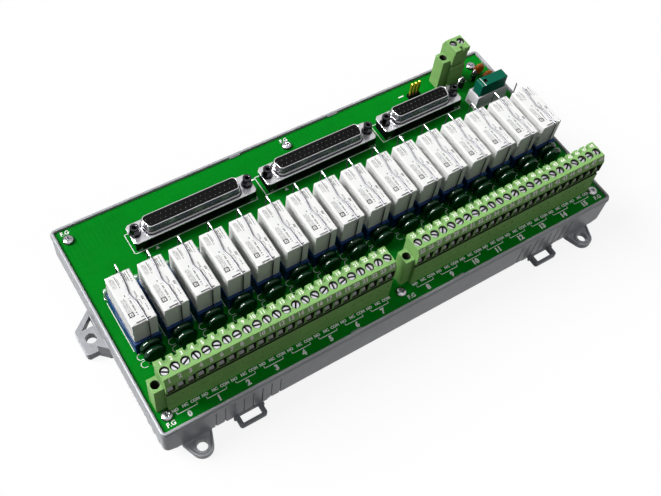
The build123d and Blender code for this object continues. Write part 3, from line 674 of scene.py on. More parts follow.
def lettering(mesh, text, size, place, weight):
    """Flat letters added to a bmesh, drawn in millimetres and placed by a matrix."""
    curve = bpy.data.curves.new("text", "FONT")
    curve.body = text
    curve.size = size
    curve.align_x = "CENTER"
    curve.align_y = "CENTER"
    curve.resolution_u = 2
    curve.offset = weight
    item = bpy.data.objects.new("text", curve)
    bpy.context.scene.collection.objects.link(item)
    data = bpy.data.meshes.new_from_object(item)
    add_copy(mesh, data, place)
    bpy.data.objects.remove(item)
    bpy.data.curves.remove(curve)
    bpy.data.meshes.remove(data)


print("curve helpers:", wire.__name__, lettering.__name__)

# %% [markdown]
# ## The tray, the board and the latches
#
# These three keep their CAD meshes, because their shapes are right. A moulding has no knife
# edges, though. Imported faces don't share their corners, so a weld joins them before a bevel
# rounds every edge by a fraction of a millimetre.

# %% Soften the CAD mouldings
WELD_REACH = 0.002 * MM


def dress(node, material, width=0.0):
    """Finishes a CAD node in place with a material and rounded edges."""
    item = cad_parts[node]
    item.data.materials.clear()
    item.data.materials.append(material)
    if width:
        item.modifiers.new("weld", "WELD").merge_threshold = WELD_REACH
        round_edges(item, width, 2, 30, False)


dress("base_tray", tray_grey, 0.22)
dress("circuit_board", solder_mask)
for side in ("left", "right"):
    dress("din_latch_" + side, latch_grey, 0.3)
print("dressed the tray, the board and two latches")

# %% [markdown]
# ## The rim bead
#
# A rounded bead runs round the top of the tray, with a thin groove above it and a level band
# next to the board. It catches the light as one bright line, so it is worth a swept profile of
# its own. The profile is given as steps outward from the wall's face and heights, and it follows
# a rectangle with rounded corners.

# %% Sweep the bead round the tray
TRAY_LENGTH = BOARD_LENGTH + 3.8
TRAY_WIDTH = BOARD_WIDTH + 3.8
TRAY_TOP = BOARD_TOP + 1.2
TRAY_CORNER = 2.6
BEAD = ((-0.02, -3.6), (0.22, -3.2), (0.36, -2.5), (0.36, -1.9), (0.2, -1.35), (-0.08, -1.1),
        (-0.1, -0.9), (0.0, -0.75), (-0.08, -0.4), (-0.3, -0.12), (-0.6, 0.02), (-1.3, 0.02), (-1.5, -0.08),
        (-1.62, -0.35))


def rounded_rectangle(length, width, corner, grow, z, steps=6):
    """Corners of a level rounded rectangle, grown outward by a distance."""
    points = []
    for quarter, (side_x, side_y) in enumerate(((1, 1), (-1, 1), (-1, -1), (1, -1))):
        x = side_x * (length / 2 - corner)
        y = side_y * (width / 2 - corner)
        radius = corner + grow
        for step in range(steps + 1):
            turn = math.pi / 2 * (quarter + step / steps)
            points.append((x + radius * math.cos(turn), y + radius * math.sin(turn), z))
    return points


bead = bmesh.new()
skin(bead, [rounded_rectangle(TRAY_LENGTH, TRAY_WIDTH, TRAY_CORNER, out, TRAY_TOP + z) for out, z in BEAD],
     close_first=False, close_last=False)
bead_data = to_mesh("rim_bead", bead)
piece("rim_bead", bead_data, [tray_grey], slot="tray_grey", sharp=50)
print("rim bead faces:", len(bead_data.polygons))

# %% [markdown]
# ## Terminal plugs
#
# A plug is one long green moulding. On top each pole has a round well for its screw and a
# numbered tab at the back, and in front it has a window for the wire. A row could be built from
# copies of one pole, but the seams between copies would show as grooves, so the whole row is one
# body and one cutter carves all of its poles.

# %% Carve a plug
PLUG_TOP = 30.25
LIP_FRONT, LIP_BOTTOM = -5.3, 26.95
TOP_FRONT = -3.85
PLUG_PROFILE = ((-4.9, 17.7), (-4.9, 18.3), (-5.6, 18.6), (-5.6, 26.5), (LIP_FRONT, LIP_BOTTOM),
                (TOP_FRONT, PLUG_TOP), (6.2, PLUG_TOP), (6.2, 26.9), (5.6, 26.5), (5.6, 17.7))
LIP_SLOPE = math.atan2(TOP_FRONT - LIP_FRONT, PLUG_TOP - LIP_BOTTOM)
WELL_RADIUS = 1.98
WELL_PROFILE = ((WELL_RADIUS, 26.0), (WELL_RADIUS, 29.95), (WELL_RADIUS + 0.3, 30.3), (WELL_RADIUS + 0.3, 31))
ENTRY_HALF = 1.9
ENTRY_SILL, ENTRY_HEAD = 18.9, 24.7
ENTRY_BACK = 0.8
TAB_GAP = 1.9
TAB_FRONT, TAB_ROOT = 3.6, 26.85
SEAM_HALF = 0.18


def plug_mesh(poles):
    """A plug with its wells, windows and tabs, the first pole at the origin."""
    body = bmesh.new()
    drawn(body, PLUG_PROFILE, -PITCH / 2, (poles - 0.5) * PITCH)
    cutter = bmesh.new()
    for pole in range(poles):
        x = pole * PITCH
        # Wells and windows carve with the dark green, painted shade in their depth.
        turned(cutter, WELL_PROFILE, 24, x, index=1)
        block(cutter, x - ENTRY_HALF, x + ENTRY_HALF, -7, ENTRY_BACK, ENTRY_SILL, ENTRY_HEAD, 1)
        block(cutter, x - 1.2, x + 1.2, -7, -5.35, ENTRY_HEAD + 0.2, ENTRY_HEAD + 0.8)
    for pole in range(poles - 1):
        x = (pole + 0.5) * PITCH
        block(cutter, x - TAB_GAP / 2, x + TAB_GAP / 2, TAB_FRONT, 7, TAB_ROOT, 31)
        block(cutter, x - SEAM_HALF, x + SEAM_HALF, -6, -5.4, 16, 26)
    return carved("plug", body, cutter)


plugs = {poles: plug_mesh(poles) for poles in (POLES, POWER_POLES)}
print("plug faces:", {poles: len(data.polygons) for poles, data in plugs.items()})

# %% [markdown]
# ## Terminal headers
#
# The header is the half that is soldered to the board: a trough that the plug is pushed into,
# and a pillar at one end that a long screw holds it by. Small marks and one groove break up its
# front. Where the plug's foot meets it a recess, and inside the pillar its bore, are dark green:
# painted shade.

# %% Carve a header
HEADER_FRONT, HEADER_BACK = -5.5, 6.2
HEADER_TOP = 16.7
HEADER_WALL = 1.1
TROUGH_FLOOR = 2.5
PILLAR_TOP = 21.5
PILLAR_FRONT, PILLAR_BACK = -3.7, 3.9
PILLAR_BORE = ((1.9, 12.5), (1.9, 21.1), (2.2, 21.55), (2.2, 22))


def header_mesh(poles, pillar_side):
    """The fixed trough of a terminal block, with its screw pillar."""
    low, high = -PITCH / 2, (poles - 0.5) * PITCH
    body = bmesh.new()
    block(body, low, high, HEADER_FRONT, HEADER_BACK, 0, HEADER_TOP)
    cutter = bmesh.new()
    block(cutter, low + HEADER_WALL, high - HEADER_WALL, -3.8, HEADER_BACK - HEADER_WALL, TROUGH_FLOOR, 18)
    for pole in range(poles):
        x = pole * PITCH
        block(cutter, x - 0.35, x + 0.35, -6.0, -5.1, 9.2, 11.4)
    block(cutter, low - 1, high + 1, -6.0, -5.32, 7.2, 7.6)
    # The recess under the plug's foot takes the dark green as painted shade.
    block(cutter, low - 1, high + 1, -6.0, -4.7, 15.9, 17.0, 1)
    pillar_x = low - PITCH / 2 if pillar_side < 0 else high + PITCH / 2
    post = bmesh.new()
    block(post, pillar_x - PITCH / 2, pillar_x + PITCH / 2, PILLAR_FRONT, PILLAR_BACK, 0, PILLAR_TOP)
    bore = bmesh.new()
    # The bore takes the dark green as painted shade.
    turned(bore, PILLAR_BORE, 24, pillar_x, index=1)
    block(bore, pillar_x - 3, pillar_x + 3, -4.2, -3.5, 8.8, 9.3)
    both = bmesh.new()
    both.from_mesh(carved("trough", body, cutter))
    both.from_mesh(carved("pillar", post, bore))
    return to_mesh("header", both)


headers = {POLES: header_mesh(POLES, -1), POWER_POLES: header_mesh(POWER_POLES, 1)}
print("header faces:", {poles: len(data.polygons) for poles, data in headers.items()})

# %% [markdown]
# ## Three terminal blocks
#
# Two long blocks face the front edge, and the short one for the supply stands at the right rear,
# turned round. Equal blocks share their meshes, so a change to one is a change to both.

# %% Place the plugs and headers
POWER_FROM_RIGHT = 25.4
POWER_FROM_REAR = 8.2
power_x = BOARD_LENGTH - POWER_FROM_RIGHT
power_y = BOARD_WIDTH - POWER_FROM_REAR
blocks = {
    "left": (on_board(FIRST_POLES[0], POLE_ROW), POLES),
    "right": (on_board(FIRST_POLES[1], POLE_ROW), POLES),
    "power": (on_board(power_x, power_y, 0, 180), POWER_POLES),
}
for label, (place, poles) in blocks.items():
    for kind, data, bevel in (("plug_", plugs[poles], 0.14), ("header_", headers[poles], 0.2)):
        piece(kind + label, data, [terminal_green, painted_shade_green], ["terminal_" + kind + label],
              "terminal_green", bevel, place=place)
print("terminal blocks:", list(blocks))

# %% [markdown]
# ## Clamp screws
#
# Down every well sits a slotted screw. A slot could be carved, but two half discs with a gap
# between them are simpler, and each takes a clean chamfer. They stand on a black disc, painted
# shade that makes the slot read dark.

# %% A slotted screw
SLOT_HALF = 0.46
SLOT_FLOOR = 28.0
SCREW_RADIUS = 1.7
SCREW_FOOT, SCREW_TOP = 26.3, 29.2
SCREW_CHAMFER = 0.18
ARC_STEPS = 12


def slotted_screw():
    """A cheese head with its slot, round the origin."""
    mesh = bmesh.new()
    # The black disc under the halves is painted shade at the bottom of the slot.
    turned(mesh, ((SCREW_RADIUS, SCREW_FOOT), (SCREW_RADIUS, SLOT_FLOOR)), 24, index=1)
    reach = math.sqrt(SCREW_RADIUS ** 2 - SLOT_HALF ** 2)
    start = math.atan2(-reach, SLOT_HALF)
    turns_of_arc = [start - 2 * start * step / ARC_STEPS for step in range(ARC_STEPS + 1)]
    for side in (-1, 1):
        arc = [(SCREW_RADIUS * math.cos(turn) * side, SCREW_RADIUS * math.sin(turn)) for turn in turns_of_arc]
        inner = [(x * 0.93 + 0.02 * side, y * 0.93) for x, y in arc]
        levels = ((arc, SLOT_FLOOR), (arc, SCREW_TOP - SCREW_CHAMFER), (inner, SCREW_TOP))
        skin(mesh, [[(x, y, z) for x, y in outline] for outline, z in levels])
    return to_mesh("slotted_screw", mesh)


screw_data = slotted_screw()
print("screw faces:", len(screw_data.polygons))

# %% [markdown]
# ## Wire cages
#
# Behind each window a plated cage waits for the wire. Screws and cages go into all fifty poles
# together. A screw is turned by whoever tightened it last, so no two slots point the same way,
# and a seeded random turn keeps them the same in every run.

# %% A wire cage, and both in all poles
CAGE_HALF = 1.7
CAGE_BOTTOM, CAGE_TOP = 18.95, 24.65


def wire_cage():
    """A sloped tongue with two side plates and a back plate behind a window."""
    mesh = bmesh.new()
    block(mesh, -CAGE_HALF, CAGE_HALF, 0.3, 0.7, CAGE_BOTTOM, CAGE_TOP)
    tongue = ((-5.0, CAGE_BOTTOM), (-5.0, 19.3), (-2.9, 23.3), (-2.5, 23.3), (-2.5, CAGE_BOTTOM))
    drawn(mesh, tongue, -CAGE_HALF, 1.1)
    for x in (-1.61, 1.61):
        block(mesh, x - 0.11, x + 0.11, -2.8, 0.3, CAGE_BOTTOM, CAGE_TOP)
    return to_mesh("wire_cage", mesh)


turns = random.Random(7)
cage_data = wire_cage()
screws = bmesh.new()
cages = bmesh.new()
for place, poles in blocks.values():
    for pole in range(poles):
        along = place @ Matrix.Translation((pole * PITCH, 0, 0))
        add_copy(screws, screw_data, along @ Matrix.Rotation(turns.uniform(0, math.pi), 4, "Z"))
        add_copy(cages, cage_data, along)
piece("clamp_screws", to_mesh("clamp_screws", screws), [terminal_metal, connector_black],
      ["terminal_screws"], "terminal_metal")
piece("wire_cages", to_mesh("wire_cages", cages), [cage_metal], ["wire_clamps"], "terminal_metal")
print("screws and cages:", sum(poles for place, poles in blocks.values()))

# %% [markdown]
# ## Pole numbers
#
# White numbers stand on the tabs behind the screws and again on the lip over the windows, so
# that an electrician can read them from above and from the front.

# %% Numbers on the tabs and on the lip
TAB_NUMBER, TAB_WEIGHT = 2.8, 0.07
LIP_NUMBER, LIP_WEIGHT = 3.4, 0.18
onto_lip = Matrix.Rotation(math.pi / 2 - LIP_SLOPE, 4, "X")
numbers = bmesh.new()
for block_index, label in enumerate(("left", "right")):
    place = blocks[label][0]
    for pole in range(POLES):
        text = str(block_index * POLES + pole + 1)
        on_tab = place @ Matrix.Translation((pole * PITCH + 0.1, 4.0, PLUG_TOP + 0.02))
        lettering(numbers, text, TAB_NUMBER, on_tab, TAB_WEIGHT)
        on_lip = place @ Matrix.Translation((pole * PITCH, -4.64, 28.62)) @ onto_lip
        lettering(numbers, text, LIP_NUMBER, on_lip, LIP_WEIGHT)
piece("pole_numbers", to_mesh("pole_numbers", numbers), [number_paint])
print("pole numbers:", 4 * POLES)

# %% [markdown]
# ## Relays
#
# A relay is a sealed white case with softly rounded edges. All sixteen share one mesh, so a
# single change reaches every one of them.

# %% Relay cases
RELAY_TOP = SOCKET_HEIGHT + RELAY_HEIGHT
case = bmesh.new()
block(case, -RELAY_WIDTH / 2, RELAY_WIDTH / 2, 0, RELAY_LENGTH, SOCKET_HEIGHT, RELAY_TOP)
case_data = to_mesh("relay", case)
relay_places = [on_board(x, relay_front) for x in relay_x]
for index, place in enumerate(relay_places):
    piece("relay_case_" + str(index), case_data, [relay_white], ["relay_" + str(index)], "relay_white",
          0.45, 3, place)
print("relay cases:", len(relay_places))

# %% [markdown]
# ## Print on the relays
#
# The tops carry small grey and black type. It is left as plain bars in the rhythm of letters and
# words, because only its greyness reads from a step away. A line of type is given by its place
# across the relay, its height, and where it starts and ends along the relay. The marks are
# single bars: a small square, a few strokes of a contact drawing, and two dark dashes at the
# front. All places count from the relay's left front corner.

# %% Bars in place of type
FAINT_TYPE = (
    (1.2, 0.28, 21.5, 26.6), (1.75, 0.28, 21.2, 27.0), (2.3, 0.28, 21.6, 26.8), (2.85, 0.28, 21.4, 26.2),
    (1.45, 0.27, 7.2, 14.7), (1.95, 0.27, 7.2, 14.9), (2.45, 0.27, 7.2, 14.6), (2.95, 0.27, 7.2, 14.8),
    (3.45, 0.27, 7.2, 14.0), (4.9, 0.7, 4.4, 14.0), (10.4, 0.45, 21.4, 28.0), (8.35, 0.5, 4.4, 8.4),
    (10.4, 0.5, 4.7, 8.2), (11.1, 0.3, 9.4, 12.4), (8.6, 0.3, 12.6, 16.2),
)
DARK_TYPE = (
    (3.95, 0.42, 20.9, 27.7), (4.65, 0.3, 22.6, 26.2), (8.35, 0.5, 22.6, 27.4), (9.2, 0.4, 22.1, 27.8),
    (10.35, 0.75, 10.7, 12.9),
)
MARKS = [
    (1.4, 1.9, 4.4, 7.0), (3.45, 3.95, 4.4, 7.0), (1.4, 3.95, 4.4, 4.9), (1.4, 3.95, 6.5, 7.0),
    (2.4, 2.9, 5.2, 5.8), (2.9, 3.2, 5.9, 6.3), (4.0, 4.4, 15.5, 16.4), (6.0, 7.5, 2.5, 2.9),
    (2.8, 7.4, 0.65, 1.25), (8.3, 9.8, 0.65, 1.2), (8.0, 9.4, 11.2, 11.35), (9.3, 9.45, 8.6, 11.3),
    (8.2, 8.35, 9.0, 13.2), (8.2, 9.2, 13.1, 13.25), (9.1, 9.25, 13.1, 16.4),
]


def flat_bars(mesh, bars, lift, index):
    """Thin printed bars, each x_low, x_high, y_low, y_high, a hair above a relay's top."""
    for x_low, x_high, y_low, y_high in bars:
        corners = ((x_low, y_low), (x_high, y_low), (x_high, y_high), (x_low, y_high))
        places = [(x - RELAY_WIDTH / 2, y, RELAY_TOP + lift) for x, y in corners]
        face = mesh.faces.new([mesh.verts.new(place) for place in places])
        face.material_index = index


def small_type(lines, chance):
    """Cuts printed lines into bars in the rhythm of letters and words."""
    bars = []
    for x, height, y, y_end in lines:
        while y < y_end:
            letter = height * chance.uniform(0.4, 0.9)
            bars.append((x, x + height, y, min(y + letter, y_end)))
            y += letter + height * chance.choice((0.35, 0.35, 0.35, 1.2))
    return bars


bars = bmesh.new()
flat_bars(bars, small_type(FAINT_TYPE, random.Random(3)), 0.012, 0)
flat_bars(bars, small_type(DARK_TYPE, random.Random(4)) + MARKS, 0.016, 1)
bars_data = to_mesh("bars", bars)
all_bars = copies(bars_data, relay_places)
piece("relay_print", to_mesh("relay_print", all_bars), [relay_print, relay_mark])
print("bars on each relay:", len(bars_data.polygons))

# %% [markdown]
# ## Relay sockets
#
# Each relay plugs into a blue socket whose ledge shows in front of it. Shallow slots in its
# sides and front let the moulding shrink evenly, and a tail behind the relay anchors the clip.
# Cutters are right for slots this plain, and one mesh serves all sixteen.

# %% Relay sockets
SOCKET_FRONT, SOCKET_BACK = -1.3, 29.9
SIDE_SLOTS = ((12.0, 21.5, 4.4, 5.8), (-0.4, 8.0, 1.2, 2.0))
CLIP_OFFSET = 1.6
TAIL_END = RELAY_LENGTH + 5.4


def socket_mesh():
    """A socket with side slots and its tail."""
    half = SOCKET_WIDTH / 2
    body = bmesh.new()
    block(body, -half, half, SOCKET_FRONT, SOCKET_BACK, 0, SOCKET_HEIGHT)
    cutter = bmesh.new()
    for x_low, x_high in ((-half - 1, -half + 0.45), (half - 0.45, half + 1)):
        for slot in SIDE_SLOTS:
            block(cutter, x_low, x_high, *slot)
    for x_low, x_high in ((-half + 1.2, -1.0), (3.6, half - 1.2)):
        block(cutter, x_low, x_high, -2, -0.9, 2.0, 7.4)
    mesh = bmesh.new()
    mesh.from_mesh(carved("socket_body", body, cutter))
    block(mesh, CLIP_OFFSET - 2.2, CLIP_OFFSET + 2.2, SOCKET_BACK, TAIL_END, 0, 6.0)
    block(mesh, CLIP_OFFSET - 1.2, CLIP_OFFSET + 1.2, TAIL_END - 1.8, TAIL_END - 0.1, 6.0, 7.0)
    return to_mesh("socket", mesh)


socket_data = socket_mesh()
for index, place in enumerate(relay_places):
    piece("socket_" + str(index), socket_data, [socket_blue], ["relay_socket_" + str(index)],
          "socket_blue", 0.2, place=place)
print("sockets:", len(relay_x), "faces each", len(socket_data.polygons))

# %% [markdown]
# ## Wire clips
#
# The clip that holds a relay down is one bent steel wire: up the front, over the top with a kink
# to the left, and down to the socket's tail. Its route is a list of points, and a smooth curve
# along them gives round bends. The level stretch behind the relay catches the light, so its faces
# get a brighter metal, a painted highlight.

# %% Wire clips
CLIP_RADIUS = 0.35
CLIP_FRONT, CLIP_BACK = -0.8, 33.2
CLIP_TOP = 25.42
CLIP_SIDE = 1.25
UP_THE_FRONT = tuple((CLIP_OFFSET, CLIP_FRONT, z) for z in (9.2, 20.0, 24.6))
OVER_THE_TOP = ((CLIP_OFFSET, CLIP_FRONT + 0.1), (CLIP_OFFSET, CLIP_FRONT + 1.2), (1.4, 9.0), (1.3, 10.4),
                (1.2, 10.9), (0.2, 14.8), (0.1, 15.4), (0.2, 16.2), (1.05, 22.0), (CLIP_SIDE, 28.0),
                (CLIP_SIDE, CLIP_BACK - 1.0), (CLIP_SIDE, CLIP_BACK))
DOWN_THE_BACK = tuple((CLIP_SIDE, CLIP_BACK, z) for z in (CLIP_TOP - 1.2, 14.0, 6.0))
clip_route = UP_THE_FRONT + tuple((x, y, CLIP_TOP) for x, y in OVER_THE_TOP) + DOWN_THE_BACK
clip = bmesh.new()
wire(clip, clip_route, CLIP_RADIUS, sides=3)
# Faces of the level stretch behind the relay take the brighter metal, a painted highlight.
for face in clip.faces:
    centre = face.calc_center_median()
    face.material_index = int(centre.y > RELAY_LENGTH + 0.4 and centre.z > CLIP_TOP - 0.6)
clip_data = to_mesh("clip", clip)
clips = copies(clip_data, relay_places)
piece("wire_clips", to_mesh("wire_clips", clips), [clip_wire, bright_wire_and_highlight], ["relay_clips"], "clip_wire")
print("wire clips:", len(relay_x), "faces each", len(clip_data.polygons))

# %% [markdown]
# ## Varistors
#
# Two dipped discs stand in front of every relay. Dipping leaves a lens shape with round edges,
# thicker where the leads run under the coat. A profile turned round the disc's own axis gives
# the lens, and the glossy coat gives each one its sharp highlight.

# %% Dipped discs on two leads
VARISTOR_SIZES = {"radius": 5.68, "thickness": 3.3, "lift": 0.6, "lead_gap": 7.5}
VARISTORS_AHEAD = (3.55, 7.8)
LEAD_RADIUS = 0.35
EDGE_STEPS = 8


def dipped_disc(radius, thickness, lift, lead_gap):
    """A rounded disc standing on its leads, its faces to the front and rear."""
    mesh = bmesh.new()
    half = thickness / 2
    edge = half * 0.95
    profile = [(radius * 0.35, -half * 1.06)]
    for step in range(EDGE_STEPS + 1):
        turn = math.pi * step / EDGE_STEPS
        profile.append((radius - edge + edge * math.sin(turn), -half * math.cos(turn)))
    profile.append((radius * 0.35, half * 1.06))
    turned(mesh, profile, 32)
    stand = Matrix.Translation((0, 0, radius + lift)) @ Matrix.Rotation(math.pi / 2, 4, "X")
    bmesh.ops.transform(mesh, matrix=stand, verts=mesh.verts)
    for side in (-1, 1):
        x, y = side * lead_gap / 2, side * half * 0.5
        lead = ((x, y, -0.2), (x, y, lift + 0.8), (x * 0.9, 0, lift + radius * 0.5))
        wire(mesh, lead, LEAD_RADIUS, 1, 2, 1)
    return to_mesh("dipped_disc", mesh)


disc_data = dipped_disc(**VARISTOR_SIZES)
discs = copies(disc_data, [on_board(x, relay_front - ahead) for x in relay_x for ahead in VARISTORS_AHEAD])
piece("varistor_discs", to_mesh("varistor_discs", discs), [varistor_green, solder], ["varistors"],
      "varistor_green", sharp=60)
print("varistors:", 2 * len(relay_x), "faces each", len(disc_data.polygons))

# %% [markdown]
# ## Channel lamps
#
# Behind each relay's left corner a clear lamp shows that its channel is on. Inside the lens stand
# two metal posts, one of them with the small cup that holds the chip.

# %% Lamps with their posts
LAMP_PROFILE = ((1.75, 0.05), (1.75, 0.9), (1.5, 1.0), (1.5, 6.4), (1.42, 7.0), (1.1, 7.6), (0.6, 7.92),
                (0.1, 8.0))
CUP_PROFILE = ((0.3, 3.6), (0.65, 4.6), (0.65, 4.8), (0.3, 4.4))
LAMP_INSET = 0.9


def lamp_mesh():
    """A lens with its rim, and the posts inside it."""
    mesh = bmesh.new()
    turned(mesh, LAMP_PROFILE, 24)
    block(mesh, -0.85, -0.25, -0.3, 0.3, 0.3, 4.0, 1)
    turned(mesh, CUP_PROFILE, 12, -0.5, 0, 1)
    block(mesh, 0.4, 0.75, -0.25, 0.25, 0.3, 4.6, 1)
    return to_mesh("lamp", mesh)


lamp_y = middle_of("channel_lamps")[1]
lamp_data = lamp_mesh()
lamps = copies(lamp_data, [on_board(x - SOCKET_WIDTH / 2 + LAMP_INSET, lamp_y) for x in relay_x])
piece("lamp_lenses", to_mesh("lamp_lenses", lamps), [lamp_green, solder], ["channel_lamps"],
      "lamp_green", sharp=50)
print("lamps:", len(relay_x), "faces each", len(lamp_data.polygons))

# %% [markdown]
# ## Connectors
#
# Each connector has a black insulator, a plated flange with a raised D-shaped shell round the
# contacts, and a hexagonal lock post at each end. The shell is drawn from sheet, so it flares
# into the flange at its foot and has a crease halfway up. One outline, grown by a distance at
# each height, gives all of those. The foot and the crease lie in shade on the real plating and
# mirror dark things, so they take the dark metal of the lock posts as painted shade and painted
# reflection, and so does the upper half of each strap under the flange.

# %% Connector shells
FLANGE_TOP = 8.4
FLANGE_THICKNESS = 0.8
FLANGE_SIDE, FLANGE_CORNER = 6.25, 1.5
SHELL_SHORTER = 16.2
SHELL_WIDTH, SHELL_TAPER, SHELL_CORNER = 7.9, 0.7, 2.4
SHELL_FOOT = ((1.6, 8.42), (1.2, 8.5), (1.0, 8.8), (0.95, 9.3))
SHELL_WALL = ((0.95, 9.3), (0.9, 10.6))
SHELL_CREASE = ((0.9, 10.6), (0.6, 10.8), (0.58, 11.15), (0.72, 11.35))
SHELL_RIM = ((0.72, 11.35), (0.12, 13.7), (0.0, 14.1), (-0.2, 14.28), (-0.42, 14.15), (-0.5, 13.8),
             (-0.5, 7.8))
LONG, SHORT = (69.32, 63.5, 19), (53.04, 47.04, 13)
connectors = {"left": LONG, "middle": LONG, "right": SHORT}


def dee_outline(length, grow, z, steps=6):
    """The shell's rounded outline, longer along its rear side and grown by a distance."""
    half, side = (length - SHELL_SHORTER) / 2, SHELL_WIDTH / 2
    corners = ((half, side), (-half, side), (-half + SHELL_TAPER, -side), (half - SHELL_TAPER, -side))
    radius = SHELL_CORNER + grow
    points = []
    for index, (x, y) in enumerate(corners):
        centre = Vector((x - math.copysign(SHELL_CORNER, x), y - math.copysign(SHELL_CORNER, y), z))
        for step in range(steps + 1):
            turn = math.pi / 2 * (index + step / steps)
            points.append(centre + Vector((radius * math.cos(turn), radius * math.sin(turn), 0)))
    return points


def shell_mesh(length, spacing):
    """Flange and raised shell in one sheet, with a strap under each end."""
    mesh = bmesh.new()
    # The foot and the crease take the dark steel, painted shade and painted reflection.
    for index, steps in ((1, SHELL_FOOT), (0, SHELL_WALL), (1, SHELL_CREASE), (0, SHELL_RIM)):
        skin(mesh, [dee_outline(length, grow, z) for grow, z in steps], False, False, index)
    end, side = length / 2, FLANGE_SIDE
    end_in, side_in = end - FLANGE_CORNER, side - FLANGE_CORNER
    plate = ((end_in, side), (-end_in, side), (-end, side_in), (-end, -side_in), (-end_in, -side),
             (end_in, -side), (end, -side_in), (end, side_in))
    skin(mesh, [[(x, y, z) for x, y in plate] for z in (FLANGE_TOP - FLANGE_THICKNESS, FLANGE_TOP)])
    for x in (-spacing / 2, spacing / 2):
        # The upper strap, under the flange, takes the dark steel as painted shade.
        block(mesh, x - 2.6, x + 2.6, -5.9, -5.5, 2.2, FLANGE_TOP - 0.7, 1)
        block(mesh, x - 1.0, x + 1.0, -5.95, -5.45, 0.0, 2.3)
    return to_mesh("shell", mesh)


shells = {size: shell_mesh(size[0], size[1]) for size in (LONG, SHORT)}
print("shell faces:", [len(data.polygons) for data in shells.values()])

# %% [markdown]
# ## Insulators
#
# Inside the shell stands a black face with two rows of contacts. At this size a hole and its
# metal lining are one dark ring with a small bright middle, so each contact is just that.

# %% Insulators with their contacts
CONTACT_PITCH, ROW_GAP = 2.77, 2.84
INSULATOR_TOP = FLANGE_TOP - 0.85
BODY_SHORTER = 13.5
FOOT_INSET, FOOT_LENGTH = 1.5, 8.0
BODY_HALF_DEPTH = 5.4
INSERT = ((-0.55, 7.6), (-0.55, 13.6), (-0.8, 13.78))
CONTACT_PROFILE = ((0.24, 13.6), (0.24, 13.84), (0.14, 13.9))


def insulator_mesh(length, long_row):
    """Black body, feet and the face with the contacts."""
    mesh = bmesh.new()
    depth, top = BODY_HALF_DEPTH, INSULATOR_TOP
    half = (length - BODY_SHORTER) / 2
    drawn(mesh, ((-depth, 0), (-depth, 5.2), (-4.9, top), (depth, top), (depth, 0)), -half, half)
    reach = length / 2 - FOOT_INSET
    for x_low in (-reach, reach - FOOT_LENGTH):
        block(mesh, x_low, x_low + FOOT_LENGTH, -depth, depth, 0, top)
    skin(mesh, [dee_outline(length, grow, z) for grow, z in INSERT])
    for row, count in ((1, long_row), (-1, long_row - 1)):
        for contact in range(count):
            x = (contact - (count - 1) / 2) * CONTACT_PITCH
            y = row * ROW_GAP / 2
            skin(mesh, [circle(0.62, 13.79, 10, x, y), circle(0.42, 13.795, 10, x, y)], False, False)
            turned(mesh, CONTACT_PROFILE, 10, x, y, 1)
    return to_mesh("insulator", mesh)


insulators = {size: insulator_mesh(size[0], size[2]) for size in (LONG, SHORT)}
print("insulator faces:", [len(data.polygons) for data in insulators.values()])

# %% [markdown]
# ## Lock posts
#
# A post on each side takes the screw of the plug. It has six flats and a turned top with a bore,
# so circles of six corners make the flats and circles of twenty-four make the rest.

# %% Lock posts and the finished connectors
POST_RADIUS = 2.6
POST_BORE = ((2.28, 5.64), (1.45, 5.7), (1.2, 5.5), (1.2, 2.0))


def lock_post():
    """A hexagonal post with a turned top and a bore."""
    mesh = bmesh.new()
    turned(mesh, ((3.1, 0.0), (3.1, 0.34)), 24)
    flats = ((POST_RADIUS, 0.34), (POST_RADIUS, 5.1), (POST_RADIUS - 0.3, 5.65))
    skin(mesh, [circle(radius, z, 6) for radius, z in flats], True, False)
    skin(mesh, [circle(radius, z, 24) for radius, z in POST_BORE], False, True)
    return to_mesh("lock_post", mesh)


post_data = lock_post()
posts = bmesh.new()
for label, size in connectors.items():
    place = on_board(*middle_of("connector_shell_" + label))
    piece("shell_" + label, shells[size], [shell_plating, post_steel_and_shell_shade], ["connector_shell_" + label],
          "shell_plating", 0.12, place=place, sharp=50)
    piece("insulator_" + label, insulators[size], [connector_black, cage_metal],
          ["connector_body_" + label], "connector_black", 0.12, place=place)
    for x in (-size[1] / 2, size[1] / 2):
        add_copy(posts, post_data, place @ Matrix.Translation((x, 0, FLANGE_TOP)))
piece("lock_posts", to_mesh("lock_posts", posts), [post_steel_and_shell_shade], ["jack_nuts"], "shell_plating", 0.15,
      sharp=30)
print("connector contacts:", sum(2 * row - 1 for length, spacing, row in connectors.values()))

# %% [markdown]
# ## Board screws
#
# Six pan head screws hold the board down. The head is a low dome turned from a profile, and a
# cross cutter sinks the recess.

# %% Pan heads with a cross recess
CROSS_HALF = 0.38
CROSS_FLARE = ((0.8, 0.6), (1.5, 2.4))
SCREW_INSET = 4.6
FRONT_SCREWS = 6.8
rear_screws = BOARD_WIDTH - 7.0
HEAD_PROFILE = ((2.8, 0.0), (2.84, 0.5), (2.78, 0.95), (2.55, 1.35), (2.1, 1.68), (1.3, 1.86), (0.5, 1.9))


def pan_head():
    """A dome with its cross recess."""
    head = bmesh.new()
    turned(head, HEAD_PROFILE, 32)
    cross = bmesh.new()
    outlines = []
    for reach, z in CROSS_FLARE:
        quarter = ((reach, -CROSS_HALF), (reach, CROSS_HALF), (CROSS_HALF, CROSS_HALF))
        outline = []
        for turn in range(4):
            spin = Matrix.Rotation(math.pi / 2 * turn, 4, "Z")
            outline += [tuple(spin @ Vector((x, y, z))) for x, y in quarter]
        outlines.append(outline)
    skin(cross, outlines)
    return carved("pan_head", head, cross)


